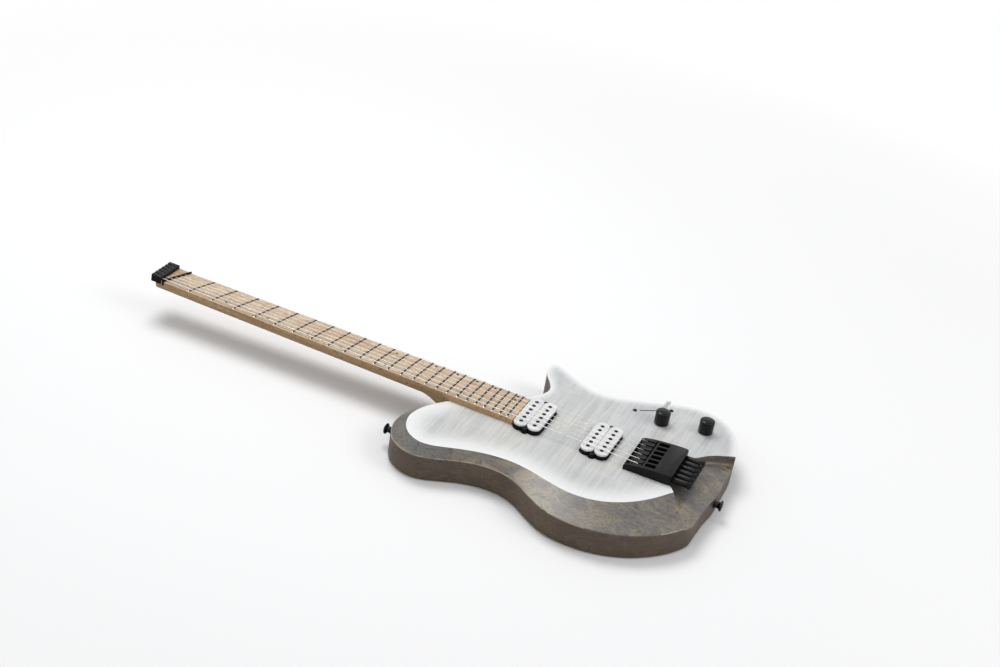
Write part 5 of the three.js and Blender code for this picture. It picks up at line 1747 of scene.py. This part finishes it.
class StrapButtons:
    """Two turned strap buttons with their screws."""

    def build(self) -> None:
        """Build both buttons."""
        for name, direction in (("horn", (-1, 0, 0)), ("tail", (1, 0, 0))):
            low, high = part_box(f"strap_button_{name}")
            seat = (low + high) / 2
            seat.x = high.x if name == "horn" else low.x
            place = along_axis(direction, (seat - ORIGIN) / MM)
            button = Blank.turned([
                (0, 0), (6.4, 0), (6.8, 0.4), (6.8, 1.0), (5.4, 1.9), (4.3, 3.4), (4.0, 5.0),
                (4.1, 6.6), (5.0, 7.9), (6.6, 8.6), (6.8, 9.2), (6.8, 9.9), (6.2, 10.6),
                (5.4, 11.0), (3.2, 11.0), (2.6, 10.4), (0, 10.4)], 48)
            head = Blank.turned([(0, 8), (2.4, 8), (2.4, 10.6), (1.9, 11.0), (0, 11.2)], 32)
            head.cut(*cross_tools(1.4, 0.3, 10.5, 12))
            button.beside(head).seated(place)
            button.finished(f"button_{name}", GLOSS_BLACK, stands_for=[f"strap_button_{name}"])


class Carried:
    """CAD pieces that are shown as they are, with this scene's finishes."""

    finishes = {
        "switch_body": PLASTIC, "truss_nut": PLATED, "truss_rod": PLATED, "volume_shaft": PLATED,
        "tone_shaft": PLATED, "volume_pot": PLATED, "tone_pot": PLATED}

    def build(self) -> None:
        """Give each piece its material."""
        for name, finish in self.finishes.items():
            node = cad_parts[name]
            node.data.materials.clear()
            node.data.materials.append(finish.material())


@dataclass
class Studio:
    """Floor, soft lamps, white backdrop and the photo's camera."""

    eye: tuple = (1.01350112, -1.60260742, 1.12798498)
    right: tuple = (0.90304806, 0.40513967, 0.14270966)
    up: tuple = (-0.31952138, 0.41154807, 0.85354219)
    back: tuple = (0.28707192, -0.81638841, 0.50109848)
    lens: float = 58.14
    floor_tones: tuple = (0.95, 0.45)
    fade: tuple = (0.55, 1.5)
    floor_size: float = 20.0
    sky: float = 0.44
    sky_tone: tuple = (0.97, 0.98, 1, 1)
    white: tuple = (1, 1, 1, 1)
    lamps: tuple = (
        ("key", (-0.75, 0.6, 2.15), 1.3, 28.0), ("side", (1.9, 0.1, 1.6), 1.2, 11.0),
        ("front", (-0.1, -1.35, 1.8), 0.9, 4.0))

    def build(self) -> None:
        """Build the surroundings."""
        self.floor()
        self.lights()
        self.backdrop()
        self.camera()

    def floor(self) -> None:
        """Lay a plain pale floor under the guitar."""
        stock = Blank()
        bmesh.ops.create_grid(stock.bm, x_segments=2, y_segments=2, size=self.floor_size)
        floor, made = stock.as_object("floor"), bpy.data.materials.new("floor")
        bench = Bench.cleared(made)
        seen, lighting = [
            bench.add("BsdfPrincipled", {"Base Color": (tone, tone, tone, 1), "Roughness": 0.8})
            for tone in self.floor_tones]
        white = bench.add("Emission", {"Color": self.white, "Strength": 1.0})
        reach = bench.add("VectorMath", {0: bench.add("TexCoord").outputs["Object"]},
                          operation="LENGTH").outputs["Value"]
        fading = bench.add("MixShader", {
            0: bench.spread(reach, *self.fade), 1: seen.outputs[0], 2: white.outputs[0]})
        both = bench.add("MixShader", {
            0: bench.add("LightPath").outputs["Is Camera Ray"], 1: lighting.outputs[0],
            2: fading.outputs[0]})
        bench.add("OutputMaterial", {"Surface": both.outputs[0]})
        floor.data.materials.append(made)

    def lights(self) -> None:
        """Hang the soft lamps."""
        for name, place, size, watts in self.lamps:
            data = bpy.data.lights.new(name, "AREA")
            data.shape, data.size, data.energy = "DISK", size, watts
            linked(name, data).matrix_world = along_axis(place, place)

    def backdrop(self) -> None:
        """Make the world white to the camera and pale grey as a light."""
        world = bpy.data.worlds.new("studio")
        bpy.context.scene.world = world
        bench = Bench.cleared(world)
        seen = bench.add("Background", {"Color": self.white, "Strength": 1.0})
        light = bench.add("Background", {"Color": self.sky_tone, "Strength": self.sky})
        path = bench.add("LightPath")
        rays = path.outputs["Is Camera Ray"]
        for kind in ("Is Glossy Ray", "Is Transmission Ray"):
            rays = bench.combined("MAXIMUM", rays, path.outputs[kind])
        both = bench.add("MixShader", {0: rays, 1: light.outputs[0], 2: seen.outputs[0]})
        bench.add("OutputWorld", {"Surface": both.outputs[0]})

    def camera(self) -> None:
        """Set the camera that the photo was taken with."""
        data = bpy.data.cameras.new("camera")
        data.lens, data.sensor_width, data.clip_start = self.lens, 36.0, 0.01
        camera = linked("camera", data)
        turn = Matrix((self.right, self.up, self.back)).transposed()
        camera.matrix_world = Matrix.Translation(ORIGIN + Vector(self.eye)) @ turn.to_4x4()
        bpy.context.scene.camera = camera
        bpy.context.scene.view_settings.view_transform = "Standard"


def main() -> None:
    """Build the guitar, its finishes and the studio round it."""
    logging.basicConfig(level=logging.INFO, format="%(message)s")
    assemblies = (
        Body(), Neck(), Headpiece(), *[Pickup(*row) for row in PICKUPS], Bridge(), Strings(),
        Controls(), Knob("volume", Controls.volume), Knob("tone", Controls.tone), Switch(),
        Jack(), StrapButtons(), Carried(), Studio())
    for assembly in assemblies:
        assembly.build()


if __name__ == "__main__":
    main()
